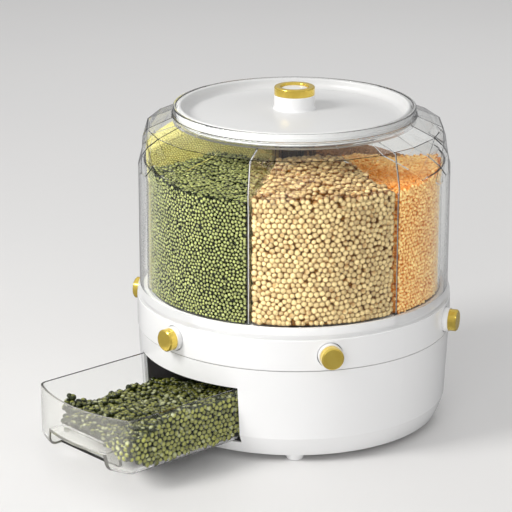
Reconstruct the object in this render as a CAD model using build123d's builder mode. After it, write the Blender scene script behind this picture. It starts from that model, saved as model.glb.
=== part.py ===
from build123d import *
from math import cos, radians, sin
import os

# Rotating grain canister: a drum of six bins turns on a base, and each bin's button opens a gate
# over the cup. Millimetres, +Z up, origin on the turning axis at table level, cup towards -Y.

# How many of each
bin_count = 6
facet_count = 22
ball_count = 12
spring_turns = 8

# Clearances
running_gap = 0.05
fit_gap = 0.1
slide_gap = 0.3
turn_gap = 0.5
bay_gap = 2.0

# Edge finish, and how far a cutting block runs past what it cuts
edge_break = 0.8
edge_round = 1.2
overshoot = 3.0

# Heights above the table
foot_height = 6.5
skirt_bottom = 6.0
slot_bottom = 16.0
slot_top = 65.0
deck_top = 80.0
lip_top = 82.8
ring_top = 110.0
rim_top = 118.6
button_height = 96.6
bin_straight_top = 212.0
bin_flare_top = 228.0
divider_shoulder = 254.5
divider_top = 260.0
lid_seat = 262.8
collar_bottom = 266.5
collar_top = 274.0
lid_gutter = 265.0
lid_crown = 271.0
knob_top = 290.0

# Base
base_radius = 134.5
base_heel_radius = 125.0
base_belt_radius = 131.5
base_belt_height = 22.5
base_heel_swell = 2.7
base_heel_rise = 6.5
base_wall = 2.8
deck_thickness = 3.0
plate_thickness = 3.0
boss_radius = 5.0
base_screw_circle = 113.0
base_screw_angles = (60, 100, 145, -145, -100, -60)
foot_tread_radius = 6.8
foot_flare = 20
foot_neck_radius = 6.0
foot_circle = 115.4
foot_angles = (48, 132, -132, -48)
foot_stem_radius = 3.0
pad_radius = 28.0
screw_radius = 1.5
screw_head_radius = 3.2
screw_head_height = 2.0
screw_length = 16.0
screw_end_room = 1.0
slot_inner = 80.0

# Cup and its bay
slot_half_width = 61.0
slot_headroom = 1.0
bay_wall = 2.0
bay_depth = 20.0
runner_width = 3.0
runner_inset = 6.0
long_runner_inset = 12.0
long_runner_place = 70.0
cup_half_width = 60.0
cup_wall = 2.0
cup_floor_height = 16.5
cup_top = 64.0
cup_front_radius = 133.5
cup_back = 15.5
cup_corner = 9.0
cup_floor_round = 8.0
cup_back_corner = 4.0
cup_travel = 111.0
recess_half_width = 35.0
recess_depth = 19.0
recess_height = 14.5
recess_draft = 4.0

# Chute from the deck to the bay
chute_side = 4.0
chute_reach = 6.0
chute_wall = 2.0
chute_flange = 3.0
chute_flange_thickness = 1.6

# Pivot and ball bearing
post_radius = 5.0
post_top = 112.0
post_head_radius = 9.0
post_head_height = 1.8
hub_radius = 13.0
hub_bottom = 86.0
hub_top = 104.0
bush_radius = 8.0
washer_radius = 12.0
washer_thickness = 1.0
nut_across_flats = 16.0
nut_height = 5.0
ball_radius = 4.0
ball_circle = 62.0
race_half_width = 5.0
race_rise = 2.3
race_half_gap = 2.2
cage_thickness = 2.6
cage_margin = 1.0

# Drum
drum_radius = 135.0
ring_wall = 2.6
ledge_width = 6.4
ledge_thickness = 2.5
drum_plate_thickness = 2.5
drum_screw_circle = 112.0
tray_rim_radius = 129.4
tray_wall = 1.8
tray_land = 24.0
tray_rib_half = 1.5
tray_step = 1.0
rail_length = 20.0
rail_width = 2.0
bin_radius = 126.2
bin_wall_thickness = 1.8
bin_flare = 1.0
divider_wall = 1.6
divider_groove = 0.8
divider_shoulder_radius = 120.5
divider_top_radius = 101.5
guide_rib_width = 1.0
guide_rib_depth = 1.5
column_radius = 18.0
cover_radius = 132.6
cover_wall = 2.4
cover_bend = 60.0
cover_corner = 5.0
flange_radius = 134.6
flange_height = 4.0
flange_taper = 6.0
skirt_depth = 2.2
collar_radius = 102.8
collar_wall = 2.6
collar_bead_width = 1.2
collar_bead_height = 1.2
lip_width = 7.0
lip_thickness = 2.0

# Corner rings of the faceted shoulder, from the collar down: radius, height and half steps of turn
facet_rings = (
    (105.0, collar_bottom, 0),
    (126.0, 257.8, 0),
    (128.6, 247.0, 1),
    (130.6, 235.0, 0),
    (134.2, 218.0, 1),
    (138.0, 200.0, 0),
)

# Inside of the shoulder, from the round wall up: radius and height of each bend
shoulder_bends = (
    (cover_radius - cover_wall, 216.0),
    (127.0, 235.0),
    (122.6, 255.6),
    (102.0, 264.2),
)

# Outlets, gates and buttons
outlet_inner = 88.0
outlet_length = 8.0
outlet_half_width = 14.0
outlet_margin = 1.0
gate_inner = 78.0
gate_half_width = 17.0
gate_neck = 118.0
gate_overlap = 1.0
gate_root = 3.0
gate_thickness = 2.0
press_travel = 8.5
stop_inner = 110.8
stop_length = 2.2
stop_half_width = 3.0
sleeve_radius = 10.3
sleeve_wall = 1.6
sleeve_inner_end = 126.0
sleeve_face = 139.0
sleeve_face_wall = 2.5
sleeve_hole_radius = 10.9
sleeve_room = 1.5
cap_radius = 9.35
cap_face = 146.0
cap_bevel = 1.1
spigot_radius = 4.0
spigot_length = 3.0
spring_radius = 2.8
spring_wire = 0.35
spring_room = 1.0

# Lid and knob
lid_radius = 98.2
lid_rim_wall = 2.6
lid_rim_round = 1.1
lid_heel = 2.0
dome_middle = 57.8
dome_sag = 1.5
lid_wall = 2.2
lid_fillet = 5.0
seal_bottom = 266.5
seal_height = 3.0
seal_round = 0.9
seal_depth = 1.4
knob_radius = 17.2
knob_foot_radius = 18.4
knob_ring_radius = 17.2
knob_ring_wall = 5.4
knob_ring_height = 7.0
knob_ring_round = 1.3
knob_recess = 2.0
knob_seat = 1.5
knob_wall = 2.4
knob_boss_radius = 4.5
knob_screw_radius = 1.9
knob_screw_head = 4.0
knob_screw_length = 11.0
knob_crown = 19.4

os.makedirs("parts", exist_ok=True)


def turned(angle):
    """Vertical working plane whose local X points outward at this angle from the cup's side."""
    return Plane.XY.rotated((0, 0, angle - 90))


def radial(angle, distance, height):
    """Plane across the radius: local Z points outward, at a distance from the axis."""
    side = radians(angle - 90)
    away = (cos(side), sin(side), 0)
    place = (distance * away[0], distance * away[1], height)
    return Plane(origin=place, x_dir=(-away[1], away[0], 0), z_dir=away)


def finish(part, label):
    """Name a finished piece and write its file."""
    part.label = label
    export_step(part, f"parts/{label}.step")


bin_step = 360 / bin_count
bin_angles = [bin_step * k for k in range(bin_count)]
wall_angles = [bin_step * (k + 0.5) for k in range(bin_count)]

# Heights and radii that follow from the ones above
plate_bottom = foot_height
foot_flare_top = skirt_bottom - slide_gap
plate_top = plate_bottom + plate_thickness
deck_bottom = deck_top - deck_thickness
bay_floor = slot_bottom - bay_wall
bay_roof = slot_top + slot_headroom + bay_wall
hub_boss_bottom = bay_roof + bay_gap
bay_side = slot_half_width + bay_wall
ring_bottom = lip_top + turn_gap
gate_bottom = button_height - gate_thickness / 2
gate_top = button_height + gate_thickness / 2
drum_plate_top = gate_bottom - slide_gap
drum_plate_bottom = drum_plate_top - drum_plate_thickness
tray_bottom = gate_top + slide_gap
tray_floor = rim_top - tray_step
ball_height = deck_top + race_rise + race_half_gap
race_groove = ball_radius + running_gap
upper_race_bottom = ball_height + race_half_gap
tray_rim_bottom = button_height + sleeve_hole_radius + fit_gap
ring_inner = drum_radius - ring_wall
outlet_outer = outlet_inner + outlet_length
window_inner = outlet_inner + press_travel
outlet_middle = (outlet_inner + outlet_outer) / 2
chute_width = 2 * (outlet_half_width + chute_side)
chute_length = outlet_length + 2 * chute_reach
pressed_end = sleeve_inner_end - press_travel - sleeve_room
spring_inner = stop_inner + stop_length + fit_gap
spring_outer = sleeve_face - sleeve_face_wall - fit_gap
collar_inner = collar_radius - collar_wall
lid_bottom = lid_seat + slide_gap
lid_rim_inner = lid_radius - lid_rim_wall
knob_shelf = knob_top - knob_ring_height
knob_seat_radius = knob_ring_radius - knob_ring_wall - fit_gap
knob_screw_top = lid_crown - lid_wall + knob_screw_length


# Fixed base


def belt_profile(inset, bottom, top):
    """Half outline of the base's tapered side, moved inward by a wall."""
    heel = (base_heel_radius - inset, bottom)
    swell = (base_belt_radius - inset - base_heel_swell, bottom + base_heel_rise)
    belt = (base_belt_radius - inset, base_belt_height)
    shoulder = (base_radius - inset, top)
    with BuildLine() as side:
        curve = Bezier(heel, swell, belt)
        rise = Line(curve @ 1, shoulder)
        lid_line = Line(rise @ 1, (0, top))
        axis_line = Line(lid_line @ 1, (0, bottom))
        Line(axis_line @ 1, heel)
    return side


with BuildPart() as base_cavity:
    with BuildSketch(Plane.XZ):
        add(belt_profile(base_wall, skirt_bottom, deck_bottom).line)
        make_face()
    revolve(axis=Axis.Z)

with BuildPart() as base_housing:
    with BuildSketch(Plane.XZ):
        add(belt_profile(0, skirt_bottom, lip_top).line)
        make_face()
    revolve(axis=Axis.Z)
    add(base_cavity.part, mode=Mode.SUBTRACT)
    # Deck recess inside the lip
    with BuildSketch(Plane.XY.offset(deck_top)):
        Circle(base_radius - base_wall)
    extrude(amount=lip_top - deck_top, mode=Mode.SUBTRACT)
    # Bosses for the plate screws and for the pivot post
    with BuildSketch(Plane.XY.offset(plate_top)):
        for angle in base_screw_angles:
            with Locations(turned(angle).from_local_coords((base_screw_circle, 0, 0))):
                Circle(boss_radius)
    extrude(until=Until.NEXT)
    with BuildSketch(Plane.XY.offset(hub_boss_bottom)):
        Circle(hub_radius)
    extrude(amount=deck_bottom - hub_boss_bottom)
    # Lower ball race
    with BuildSketch(Plane.XY.offset(deck_top)):
        Circle(ball_circle + race_half_width)
        Circle(ball_circle - race_half_width, mode=Mode.SUBTRACT)
    extrude(amount=race_rise)
    with BuildSketch(Plane.XZ):
        with Locations((ball_circle, ball_height)):
            Circle(race_groove)
    revolve(axis=Axis.Z, mode=Mode.SUBTRACT)
    # Openings for the cup, the chute and the post
    with BuildSketch(Plane.XZ.offset(slot_inner)):
        with Locations((0, (slot_bottom + slot_top) / 2)):
            Rectangle(2 * slot_half_width, slot_top - slot_bottom)
    extrude(amount=drum_radius - slot_inner, mode=Mode.SUBTRACT)
    with BuildSketch(Plane.XY.offset(deck_bottom)):
        with Locations((0, -outlet_middle)):
            Rectangle(chute_width + 2 * fit_gap, chute_length + 2 * fit_gap)
        Circle(post_radius + fit_gap)
    extrude(amount=deck_thickness, both=True, mode=Mode.SUBTRACT)
    with BuildSketch(Plane.XY.offset(bay_roof)):
        Circle(post_radius + fit_gap)
    extrude(amount=deck_top, mode=Mode.SUBTRACT)
    with BuildSketch(Plane.XY.offset(plate_top)):
        for angle in base_screw_angles:
            with Locations(turned(angle).from_local_coords((base_screw_circle, 0, 0))):
                Circle(screw_radius + fit_gap)
    extrude(amount=screw_length, mode=Mode.SUBTRACT)
finish(base_housing.part, "base_housing")

with BuildPart() as base_plate:
    with BuildSketch(Plane.XY.offset(plate_bottom)):
        Circle(base_heel_radius - base_wall - slide_gap)
    extrude(amount=plate_thickness)
    with BuildSketch(Plane.XY.offset(plate_bottom)):
        for angle in foot_angles:
            with Locations(turned(angle).from_local_coords((foot_circle, 0, 0))):
                Circle(foot_stem_radius + fit_gap)
        for angle in base_screw_angles:
            with Locations(turned(angle).from_local_coords((base_screw_circle, 0, 0))):
                Circle(screw_radius + fit_gap)
    extrude(amount=plate_thickness, mode=Mode.SUBTRACT)
    with BuildSketch(Plane.XY.offset(plate_bottom)):
        for angle in base_screw_angles:
            with Locations(turned(angle).from_local_coords((base_screw_circle, 0, 0))):
                Circle(screw_head_radius + fit_gap)
    extrude(amount=screw_head_height, mode=Mode.SUBTRACT)
finish(base_plate.part, "base_plate")

with BuildPart() as feet:
    for angle in foot_angles:
        with BuildSketch(turned(angle)):
            with Locations((foot_circle, 0)):
                Circle(foot_tread_radius)
        extrude(amount=foot_flare_top, taper=-foot_flare)
        with BuildSketch(turned(angle).offset(foot_flare_top)):
            with Locations((foot_circle, 0)):
                Circle(foot_neck_radius)
        extrude(amount=foot_height - foot_flare_top)
        with BuildSketch(turned(angle).offset(foot_height)):
            with Locations((foot_circle, 0)):
                Circle(foot_stem_radius)
        extrude(amount=plate_thickness)
    fillet(feet.faces().filter_by(Plane.XY).group_by(Axis.Z)[0].edges(), edge_round)
finish(feet.part, "feet")

with BuildPart() as centre_pad:
    with BuildSketch():
        Circle(pad_radius)
    extrude(amount=foot_height)
    chamfer(centre_pad.faces().sort_by(Axis.Z)[0].edges(), edge_break)
finish(centre_pad.part, "centre_pad")


def screw_group(plane_height, circle, angles, length):
    """Cap screws on a circle, heads at the bottom and shanks upward."""
    with BuildPart() as screws:
        for angle in angles:
            with BuildSketch(turned(angle).offset(plane_height)):
                with Locations((circle, 0)):
                    Circle(screw_head_radius)
            extrude(amount=screw_head_height)
            with BuildSketch(turned(angle).offset(plane_height + screw_head_height)):
                with Locations((circle, 0)):
                    Circle(screw_radius)
            extrude(amount=length)
            with BuildSketch(turned(angle).offset(plane_height)):
                with Locations((circle, 0)):
                    RegularPolygon(screw_radius, 6)
            extrude(amount=screw_head_height / 2, mode=Mode.SUBTRACT)
    return screws.part


base_screws = screw_group(plate_bottom, base_screw_circle, base_screw_angles, screw_length - screw_end_room)
finish(base_screws, "base_screws")

with BuildPart() as cup_bay:
    with BuildSketch(Plane.XY.offset(bay_floor)):
        with Locations((0, bay_depth + bay_wall)):
            Rectangle(2 * bay_side, base_radius + bay_depth, align=(Align.CENTER, Align.MAX))
    extrude(amount=bay_roof - bay_floor)
    with BuildSketch(Plane.XY.offset(slot_bottom)):
        with Locations((0, bay_depth)):
            Rectangle(2 * slot_half_width, 2 * base_radius, align=(Align.CENTER, Align.MAX))
    extrude(amount=bay_roof - bay_wall - slot_bottom, mode=Mode.SUBTRACT)
    with BuildSketch(Plane.XZ):
        add(belt_profile(base_wall + slide_gap, skirt_bottom, deck_bottom).line)
        make_face()
    revolve(axis=Axis.Z, mode=Mode.INTERSECT)
    # Runners that stand on the plate
    with BuildSketch(Plane.XY.offset(plate_top)):
        with GridLocations(slot_half_width - runner_inset, 1, 3, 1):
            Rectangle(runner_width, 2 * bay_depth)
        with Locations((0, -long_runner_place)):
            with GridLocations(2 * (slot_half_width - long_runner_inset), 1, 2, 1):
                Rectangle(runner_width, 3 * bay_depth)
    extrude(amount=bay_floor - plate_top)
    # Way in for the grain
    with BuildSketch(Plane.XY.offset(bay_roof - bay_wall)):
        with Locations((0, -outlet_middle)):
            Rectangle(chute_width + 2 * fit_gap, chute_length + 2 * fit_gap)
    extrude(amount=bay_wall, mode=Mode.SUBTRACT)
finish(cup_bay.part, "cup_bay")

with BuildPart() as chute:
    with BuildSketch(Plane.XY.offset(bay_roof - bay_wall)):
        with Locations((0, -outlet_middle)):
            Rectangle(chute_width, chute_length)
    extrude(amount=deck_top - bay_roof + bay_wall)
    with BuildSketch(Plane.XY.offset(bay_roof)):
        with Locations((0, -outlet_middle)):
            Rectangle(chute_width + 2 * chute_flange, chute_length + 2 * chute_flange)
    extrude(amount=chute_flange_thickness)
    with BuildSketch(Plane.XY.offset(bay_roof - bay_wall)):
        with Locations((0, -outlet_middle)):
            Rectangle(chute_width - 2 * chute_wall, chute_length - 2 * chute_wall)
    extrude(amount=deck_top, mode=Mode.SUBTRACT)
finish(chute.part, "chute")

with BuildPart() as pivot_post:
    with BuildSketch(Plane.XY.offset(hub_boss_bottom - post_head_height)):
        Circle(post_head_radius)
    extrude(amount=post_head_height)
    with BuildSketch(Plane.XY.offset(hub_boss_bottom)):
        Circle(post_radius)
    extrude(amount=post_top - hub_boss_bottom)
    chamfer(pivot_post.faces().sort_by(Axis.Z)[-1].edges(), edge_break)
finish(pivot_post.part, "pivot_post")

with BuildPart() as pivot_washer:
    with BuildSketch(Plane.XY.offset(hub_top + slide_gap)):
        Circle(washer_radius)
        Circle(post_radius + fit_gap, mode=Mode.SUBTRACT)
    extrude(amount=washer_thickness)
finish(pivot_washer.part, "pivot_washer")

with BuildPart() as pivot_nut:
    with BuildSketch(Plane.XY.offset(hub_top + slide_gap + washer_thickness)):
        RegularPolygon(nut_across_flats / 2, 6, major_radius=False)
        Circle(post_radius + fit_gap, mode=Mode.SUBTRACT)
    extrude(amount=nut_height)
    chamfer(pivot_nut.faces().sort_by(Axis.Z)[-1].outer_wire().edges(), edge_break)
finish(pivot_nut.part, "pivot_nut")


# Cup, drawn shut and then pulled out by its travel


def cup_outline(inset):
    """Plan of the cup: straight sides and back, and a front that follows the base's round."""
    half = cup_half_width - inset
    front = cup_front_radius - inset
    corner_y = -((front**2 - half**2) ** 0.5)
    with BuildSketch() as plan:
        with BuildLine():
            arc = ThreePointArc((-half, corner_y), (0, -front), (half, corner_y))
            Polyline(arc @ 1, (half, cup_back - inset), (-half, cup_back - inset), arc @ 0)
        make_face()
        fillet(plan.vertices().group_by(Axis.Y)[0], cup_corner - inset)
        fillet(plan.vertices().group_by(Axis.Y)[-1], cup_back_corner)
    return plan.sketch


with BuildPart() as cup_solid:
    with BuildSketch(Plane.XY.offset(cup_floor_height)):
        add(cup_outline(0))
    extrude(amount=cup_top - cup_floor_height)
    fillet(cup_solid.faces().sort_by(Axis.Z)[0].edges(), cup_floor_round)

with BuildPart() as cup_hollow:
    with BuildSketch(Plane.XY.offset(cup_floor_height + cup_wall)):
        add(cup_outline(cup_wall))
    extrude(amount=cup_top - cup_floor_height)
    fillet(cup_hollow.faces().sort_by(Axis.Z)[0].edges(), cup_floor_round - cup_wall)


def recess_block(grow):
    """Finger recess under the front, wider at its mouth, grown by a wall for its inner skin."""
    top = cup_floor_height + recess_height + grow
    back = -cup_front_radius + recess_depth + grow
    half = recess_half_width + grow
    with BuildPart() as block:
        with BuildSketch(Plane.XZ.offset(-back)):
            with BuildLine():
                Polyline(
                    (-half - recess_draft, cup_floor_height - overshoot),
                    (half + recess_draft, cup_floor_height - overshoot),
                    (half, top),
                    (-half, top),
                    close=True,
                )
            make_face()
        extrude(amount=recess_depth + 2 * overshoot)
    return block.part


with BuildPart() as cup_cavity:
    add(cup_hollow.part)
    add(recess_block(cup_wall), mode=Mode.SUBTRACT)

with BuildPart() as cup:
    add(cup_solid.part)
    add(cup_cavity.part, mode=Mode.SUBTRACT)
    add(recess_block(0), mode=Mode.SUBTRACT)
cup_placed = Pos(0, -cup_travel, 0) * cup.part
finish(cup_placed, "cup")

# Ball bearing between the deck and the drum

with BuildPart() as ball_cage:
    with BuildSketch(Plane.XY.offset(ball_height - cage_thickness / 2)):
        Circle(ball_circle + race_half_width + cage_margin)
        Circle(ball_circle - race_half_width - cage_margin, mode=Mode.SUBTRACT)
        with PolarLocations(ball_circle, ball_count):
            Circle(ball_radius + fit_gap, mode=Mode.SUBTRACT)
    extrude(amount=cage_thickness)
finish(ball_cage.part, "ball_cage")

with BuildPart() as bearing_balls:
    with Locations((0, 0, ball_height)):
        with PolarLocations(ball_circle, ball_count):
            Sphere(ball_radius)
finish(bearing_balls.part, "bearing_balls")

# Drum

with BuildPart() as drum_ring:
    with BuildSketch(Plane.XY.offset(ring_bottom)):
        Circle(drum_radius)
        Circle(ring_inner, mode=Mode.SUBTRACT)
    extrude(amount=ring_top - ring_bottom)
    fillet(drum_ring.edges().filter_by(GeomType.CIRCLE).group_by(SortBy.RADIUS)[-1], edge_break)
    with BuildSketch(Plane.XY.offset(drum_plate_bottom - ledge_thickness)):
        Circle(ring_inner + ring_wall / 2)
        Circle(ring_inner - ledge_width, mode=Mode.SUBTRACT)
    extrude(amount=ledge_thickness)
    for angle in bin_angles:
        with BuildSketch(radial(angle, ring_inner - ledge_width - overshoot, button_height)):
            Circle(sleeve_hole_radius)
        extrude(amount=ledge_width + ring_wall + 2 * overshoot, mode=Mode.SUBTRACT)
finish(drum_ring.part, "drum_ring")

with BuildPart() as drum_plate:
    with BuildSketch(Plane.XY.offset(drum_plate_bottom)):
        Circle(ring_inner - slide_gap)
    extrude(amount=drum_plate_thickness)
    # Hub for the bush, and the upper ball race
    with BuildSketch(Plane.XY.offset(hub_bottom)):
        Circle(hub_radius)
    extrude(amount=hub_top - hub_bottom)
    with BuildSketch(Plane.XY.offset(upper_race_bottom)):
        Circle(ball_circle + race_half_width)
        Circle(ball_circle - race_half_width, mode=Mode.SUBTRACT)
    extrude(amount=drum_plate_bottom - upper_race_bottom)
    with BuildSketch(Plane.XZ):
        with Locations((ball_circle, ball_height)):
            Circle(race_groove)
    revolve(axis=Axis.Z, mode=Mode.SUBTRACT)
    with BuildSketch(Plane.XY.offset(hub_bottom)):
        Circle(bush_radius + fit_gap)
    extrude(amount=hub_top - hub_bottom, mode=Mode.SUBTRACT)
    for angle in bin_angles:
        # Outlet, room for the spring and room for the sleeve when it is pressed in
        with BuildSketch(turned(angle).offset(drum_plate_bottom)):
            with Locations((outlet_middle, 0)):
                Rectangle(
                    outlet_length + 2 * outlet_margin, 2 * (outlet_half_width + outlet_margin)
                )
            with Locations((stop_inner - fit_gap, 0)):
                Rectangle(
                    ring_inner, 2 * (spring_radius + spring_room), align=(Align.MIN, Align.CENTER)
                )
        extrude(amount=drum_plate_thickness, mode=Mode.SUBTRACT)
        with BuildSketch(radial(angle, pressed_end, button_height)):
            Circle(sleeve_hole_radius + slide_gap)
        extrude(amount=drum_radius, mode=Mode.SUBTRACT)
    for angle in wall_angles:
        with BuildSketch(turned(angle).offset(drum_plate_bottom)):
            with Locations((drum_screw_circle, 0)):
                Circle(screw_radius + fit_gap)
        extrude(amount=drum_plate_thickness, mode=Mode.SUBTRACT)
finish(drum_plate.part, "drum_plate")

with BuildPart() as pivot_bush:
    with BuildSketch(Plane.XY.offset(hub_bottom)):
        Circle(bush_radius)
        Circle(post_radius + running_gap, mode=Mode.SUBTRACT)
    extrude(amount=hub_top - hub_bottom)
finish(pivot_bush.part, "pivot_bush")

drum_screws = screw_group(
    drum_plate_bottom - screw_head_height, drum_screw_circle, wall_angles, screw_length - screw_end_room
)
finish(drum_screws, "drum_screws")


def hopper(angle, grow):
    """Funnel from one bin's whole floor down to its outlet; grow gives the outside of its wall."""
    half_turn = radians(bin_step / 2)
    inner = tray_land - grow
    outer = bin_radius - bin_wall_thickness + grow
    # Side edges run beside the dividers, half a land's width away
    side = tray_rib_half - grow

    def on_side(distance, sign):
        along = (distance**2 - side**2) ** 0.5
        turn = sign * half_turn
        return (
            along * cos(turn) + sign * side * sin(half_turn),
            along * sin(turn) - sign * side * cos(half_turn),
        )

    with BuildPart() as funnel:
        with BuildSketch(turned(angle).offset(tray_bottom)):
            with Locations((outlet_middle, 0)):
                Rectangle(outlet_length + 2 * grow, 2 * (outlet_half_width + grow))
        with BuildSketch(turned(angle).offset(tray_floor)):
            with BuildLine():
                outer_arc = ThreePointArc(on_side(outer, -1), (outer, 0), on_side(outer, 1))
                Polyline(outer_arc @ 1, on_side(inner, 1), on_side(inner, -1), outer_arc @ 0)
            make_face()
        loft(ruled=True)
    return funnel.part


with BuildPart() as hopper_tray:
    # Rim and floor
    with BuildSketch(Plane.XY.offset(tray_rim_bottom)):
        Circle(tray_rim_radius)
        Circle(bin_radius + slide_gap, mode=Mode.SUBTRACT)
    extrude(amount=rim_top - tray_rim_bottom)
    with BuildSketch(Plane.XY.offset(tray_floor - tray_wall)):
        Circle(tray_rim_radius - edge_break)
    extrude(amount=tray_wall)
    for angle in bin_angles:
        add(hopper(angle, tray_wall))
    for angle in wall_angles:
        with BuildSketch(turned(angle).offset(drum_plate_top)):
            with Locations((drum_screw_circle, 0)):
                Circle(boss_radius)
        extrude(amount=tray_floor - drum_plate_top)
    for angle in bin_angles:
        # Rails beside the gate, and the stop that holds its spring
        with BuildSketch(turned(angle).offset(drum_plate_top)):
            with Locations((outlet_inner, 0)):
                with GridLocations(1, 2 * (gate_half_width + slide_gap) + rail_width, 1, 2):
                    Rectangle(rail_length, rail_width)
        extrude(amount=tray_floor - tray_wall - drum_plate_top)
        with BuildSketch(turned(angle).offset(button_height - spring_radius - slide_gap)):
            with Locations((stop_inner, 0)):
                Rectangle(stop_length, 2 * stop_half_width, align=(Align.MIN, Align.CENTER))
        extrude(amount=tray_floor - button_height)
    for angle in bin_angles:
        add(hopper(angle, 0), mode=Mode.SUBTRACT)
        with BuildSketch(radial(angle, pressed_end, button_height)):
            Circle(sleeve_hole_radius)
        extrude(amount=drum_radius, mode=Mode.SUBTRACT)
    for angle in wall_angles:
        with BuildSketch(turned(angle).offset(drum_plate_top)):
            with Locations((drum_screw_circle, 0)):
                Circle(screw_radius + fit_gap)
        extrude(amount=screw_length, mode=Mode.SUBTRACT)
finish(hopper_tray.part, "hopper_tray")

with BuildPart() as bin_wall:
    with BuildSketch(Plane.XZ):
        with BuildLine():
            Polyline(
                (bin_radius - bin_wall_thickness, tray_floor),
                (bin_radius, tray_floor),
                (bin_radius, bin_straight_top),
                (bin_radius + bin_flare, bin_flare_top),
                (bin_radius + bin_flare - bin_wall_thickness, bin_flare_top),
                (bin_radius - bin_wall_thickness, bin_straight_top),
                close=True,
            )
        make_face()
    revolve(axis=Axis.Z)
    # Pairs of guide ribs that hold the dividers' outer edges
    for angle in wall_angles:
        with BuildSketch(turned(angle).offset(tray_floor)):
            with Locations((bin_radius - bin_wall_thickness / 2, 0)):
                with GridLocations(1, divider_wall + 2 * fit_gap + guide_rib_width, 1, 2):
                    Rectangle(
                        bin_wall_thickness / 2 + guide_rib_depth,
                        guide_rib_width,
                        align=(Align.MAX, Align.CENTER),
                    )
        extrude(amount=bin_straight_top - tray_floor)
finish(bin_wall.part, "bin_wall")

with BuildPart() as column:
    with BuildSketch(Plane.XY.offset(tray_floor)):
        Circle(column_radius)
        Circle(column_radius - bin_wall_thickness, mode=Mode.SUBTRACT)
        # Grooves for the dividers' inner edges
        for angle in wall_angles:
            with Locations(turned(angle).from_local_coords((column_radius, 0, 0))):
                Rectangle(
                    2 * divider_groove,
                    divider_wall + 2 * fit_gap,
                    rotation=angle - 90,
                    mode=Mode.SUBTRACT,
                )
    extrude(amount=divider_top - tray_floor)
finish(column.part, "column")

for number, angle in enumerate(wall_angles, 1):
    with BuildPart() as divider:
        with BuildSketch(turned(angle) * Plane.XZ):
            with BuildLine():
                Polyline(
                    (column_radius - divider_groove + fit_gap, tray_floor),
                    (bin_radius - bin_wall_thickness - fit_gap, tray_floor),
                    (bin_radius - bin_wall_thickness - fit_gap, bin_straight_top),
                    (bin_radius + bin_flare - bin_wall_thickness - fit_gap, bin_flare_top),
                    (divider_shoulder_radius, divider_shoulder),
                    (divider_top_radius, divider_top),
                    (column_radius - divider_groove + fit_gap, divider_top),
                    close=True,
                )
            make_face()
        extrude(amount=divider_wall / 2, both=True)
    finish(divider.part, f"divider_{number}")


def shoulder_solid():
    """Faceted body of the shoulder: rings of corners joined by flat triangles."""
    step = 360 / facet_count
    rings = []
    for radius, height, half_steps in facet_rings:
        turns = [radians(step * (k + half_steps / 2) - 90) for k in range(facet_count)]
        rings.append([Vector(radius * cos(t), radius * sin(t), height) for t in turns])
    faces = []
    for level in range(len(rings) - 1):
        upper, lower = rings[level], rings[level + 1]
        lean = facet_rings[level + 1][2] - facet_rings[level][2]
        for k in range(facet_count):
            after = (k + 1) % facet_count
            if lean == 0:
                quad = (upper[k], upper[after], lower[after], lower[k])
                faces.append(Face(Wire.make_polygon(quad)))
            elif lean > 0:
                faces.append(Face(Wire.make_polygon((upper[k], upper[after], lower[k]))))
                faces.append(Face(Wire.make_polygon((upper[after], lower[after], lower[k]))))
            else:
                faces.append(Face(Wire.make_polygon((upper[k], upper[after], lower[after]))))
                faces.append(Face(Wire.make_polygon((upper[k], lower[after], lower[k]))))
    faces.append(Face(Wire.make_polygon(rings[0])))
    faces.append(Face(Wire.make_polygon(rings[-1])))
    return Solid(Shell(faces))


facet_bottom = facet_rings[-1][1]
collar_seat = collar_radius + fit_gap

with BuildPart() as cover:
    # Facets cut into a round wall, which goes on below them
    with BuildSketch(Plane.XY.offset(facet_bottom)):
        Circle(cover_radius)
    extrude(amount=collar_bottom - facet_bottom)
    add(shoulder_solid(), mode=Mode.INTERSECT)
    with BuildSketch(Plane.XY.offset(ring_top)):
        Circle(cover_radius)
    extrude(amount=facet_bottom - ring_top)
    # Foot flange on the ring, and the skirt that centres it
    with BuildSketch(Plane.XZ):
        with BuildLine():
            Polyline(
                (cover_radius - cover_wall, ring_top),
                (flange_radius, ring_top),
                (flange_radius, ring_top + flange_height),
                (cover_radius, ring_top + flange_height + flange_taper),
                (cover_radius - cover_wall, ring_top + flange_height + flange_taper),
                close=True,
            )
        make_face()
    revolve(axis=Axis.Z)
    with BuildSketch(Plane.XY.offset(ring_top - skirt_depth)):
        Circle(ring_inner - slide_gap)
    extrude(amount=skirt_depth)
    # Smooth inside, with the hole for the collar
    with BuildSketch(Plane.XZ) as hollow:
        with BuildLine():
            Polyline(
                (0, ring_top - skirt_depth),
                (cover_radius - cover_wall, ring_top - skirt_depth),
                *shoulder_bends,
                (0, shoulder_bends[-1][1]),
                close=True,
            )
        make_face()
        for place, round_size in zip(shoulder_bends, (cover_bend, cover_bend, cover_corner)):
            fillet(hollow.vertices().sort_by_distance(place)[0], round_size)
    revolve(axis=Axis.Z, mode=Mode.SUBTRACT)
    with BuildSketch(Plane.XY.offset(shoulder_bends[-1][1] - overshoot)):
        Circle(collar_seat)
    extrude(amount=collar_top - shoulder_bends[-1][1], mode=Mode.SUBTRACT)
finish(cover.part, "cover")

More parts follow.
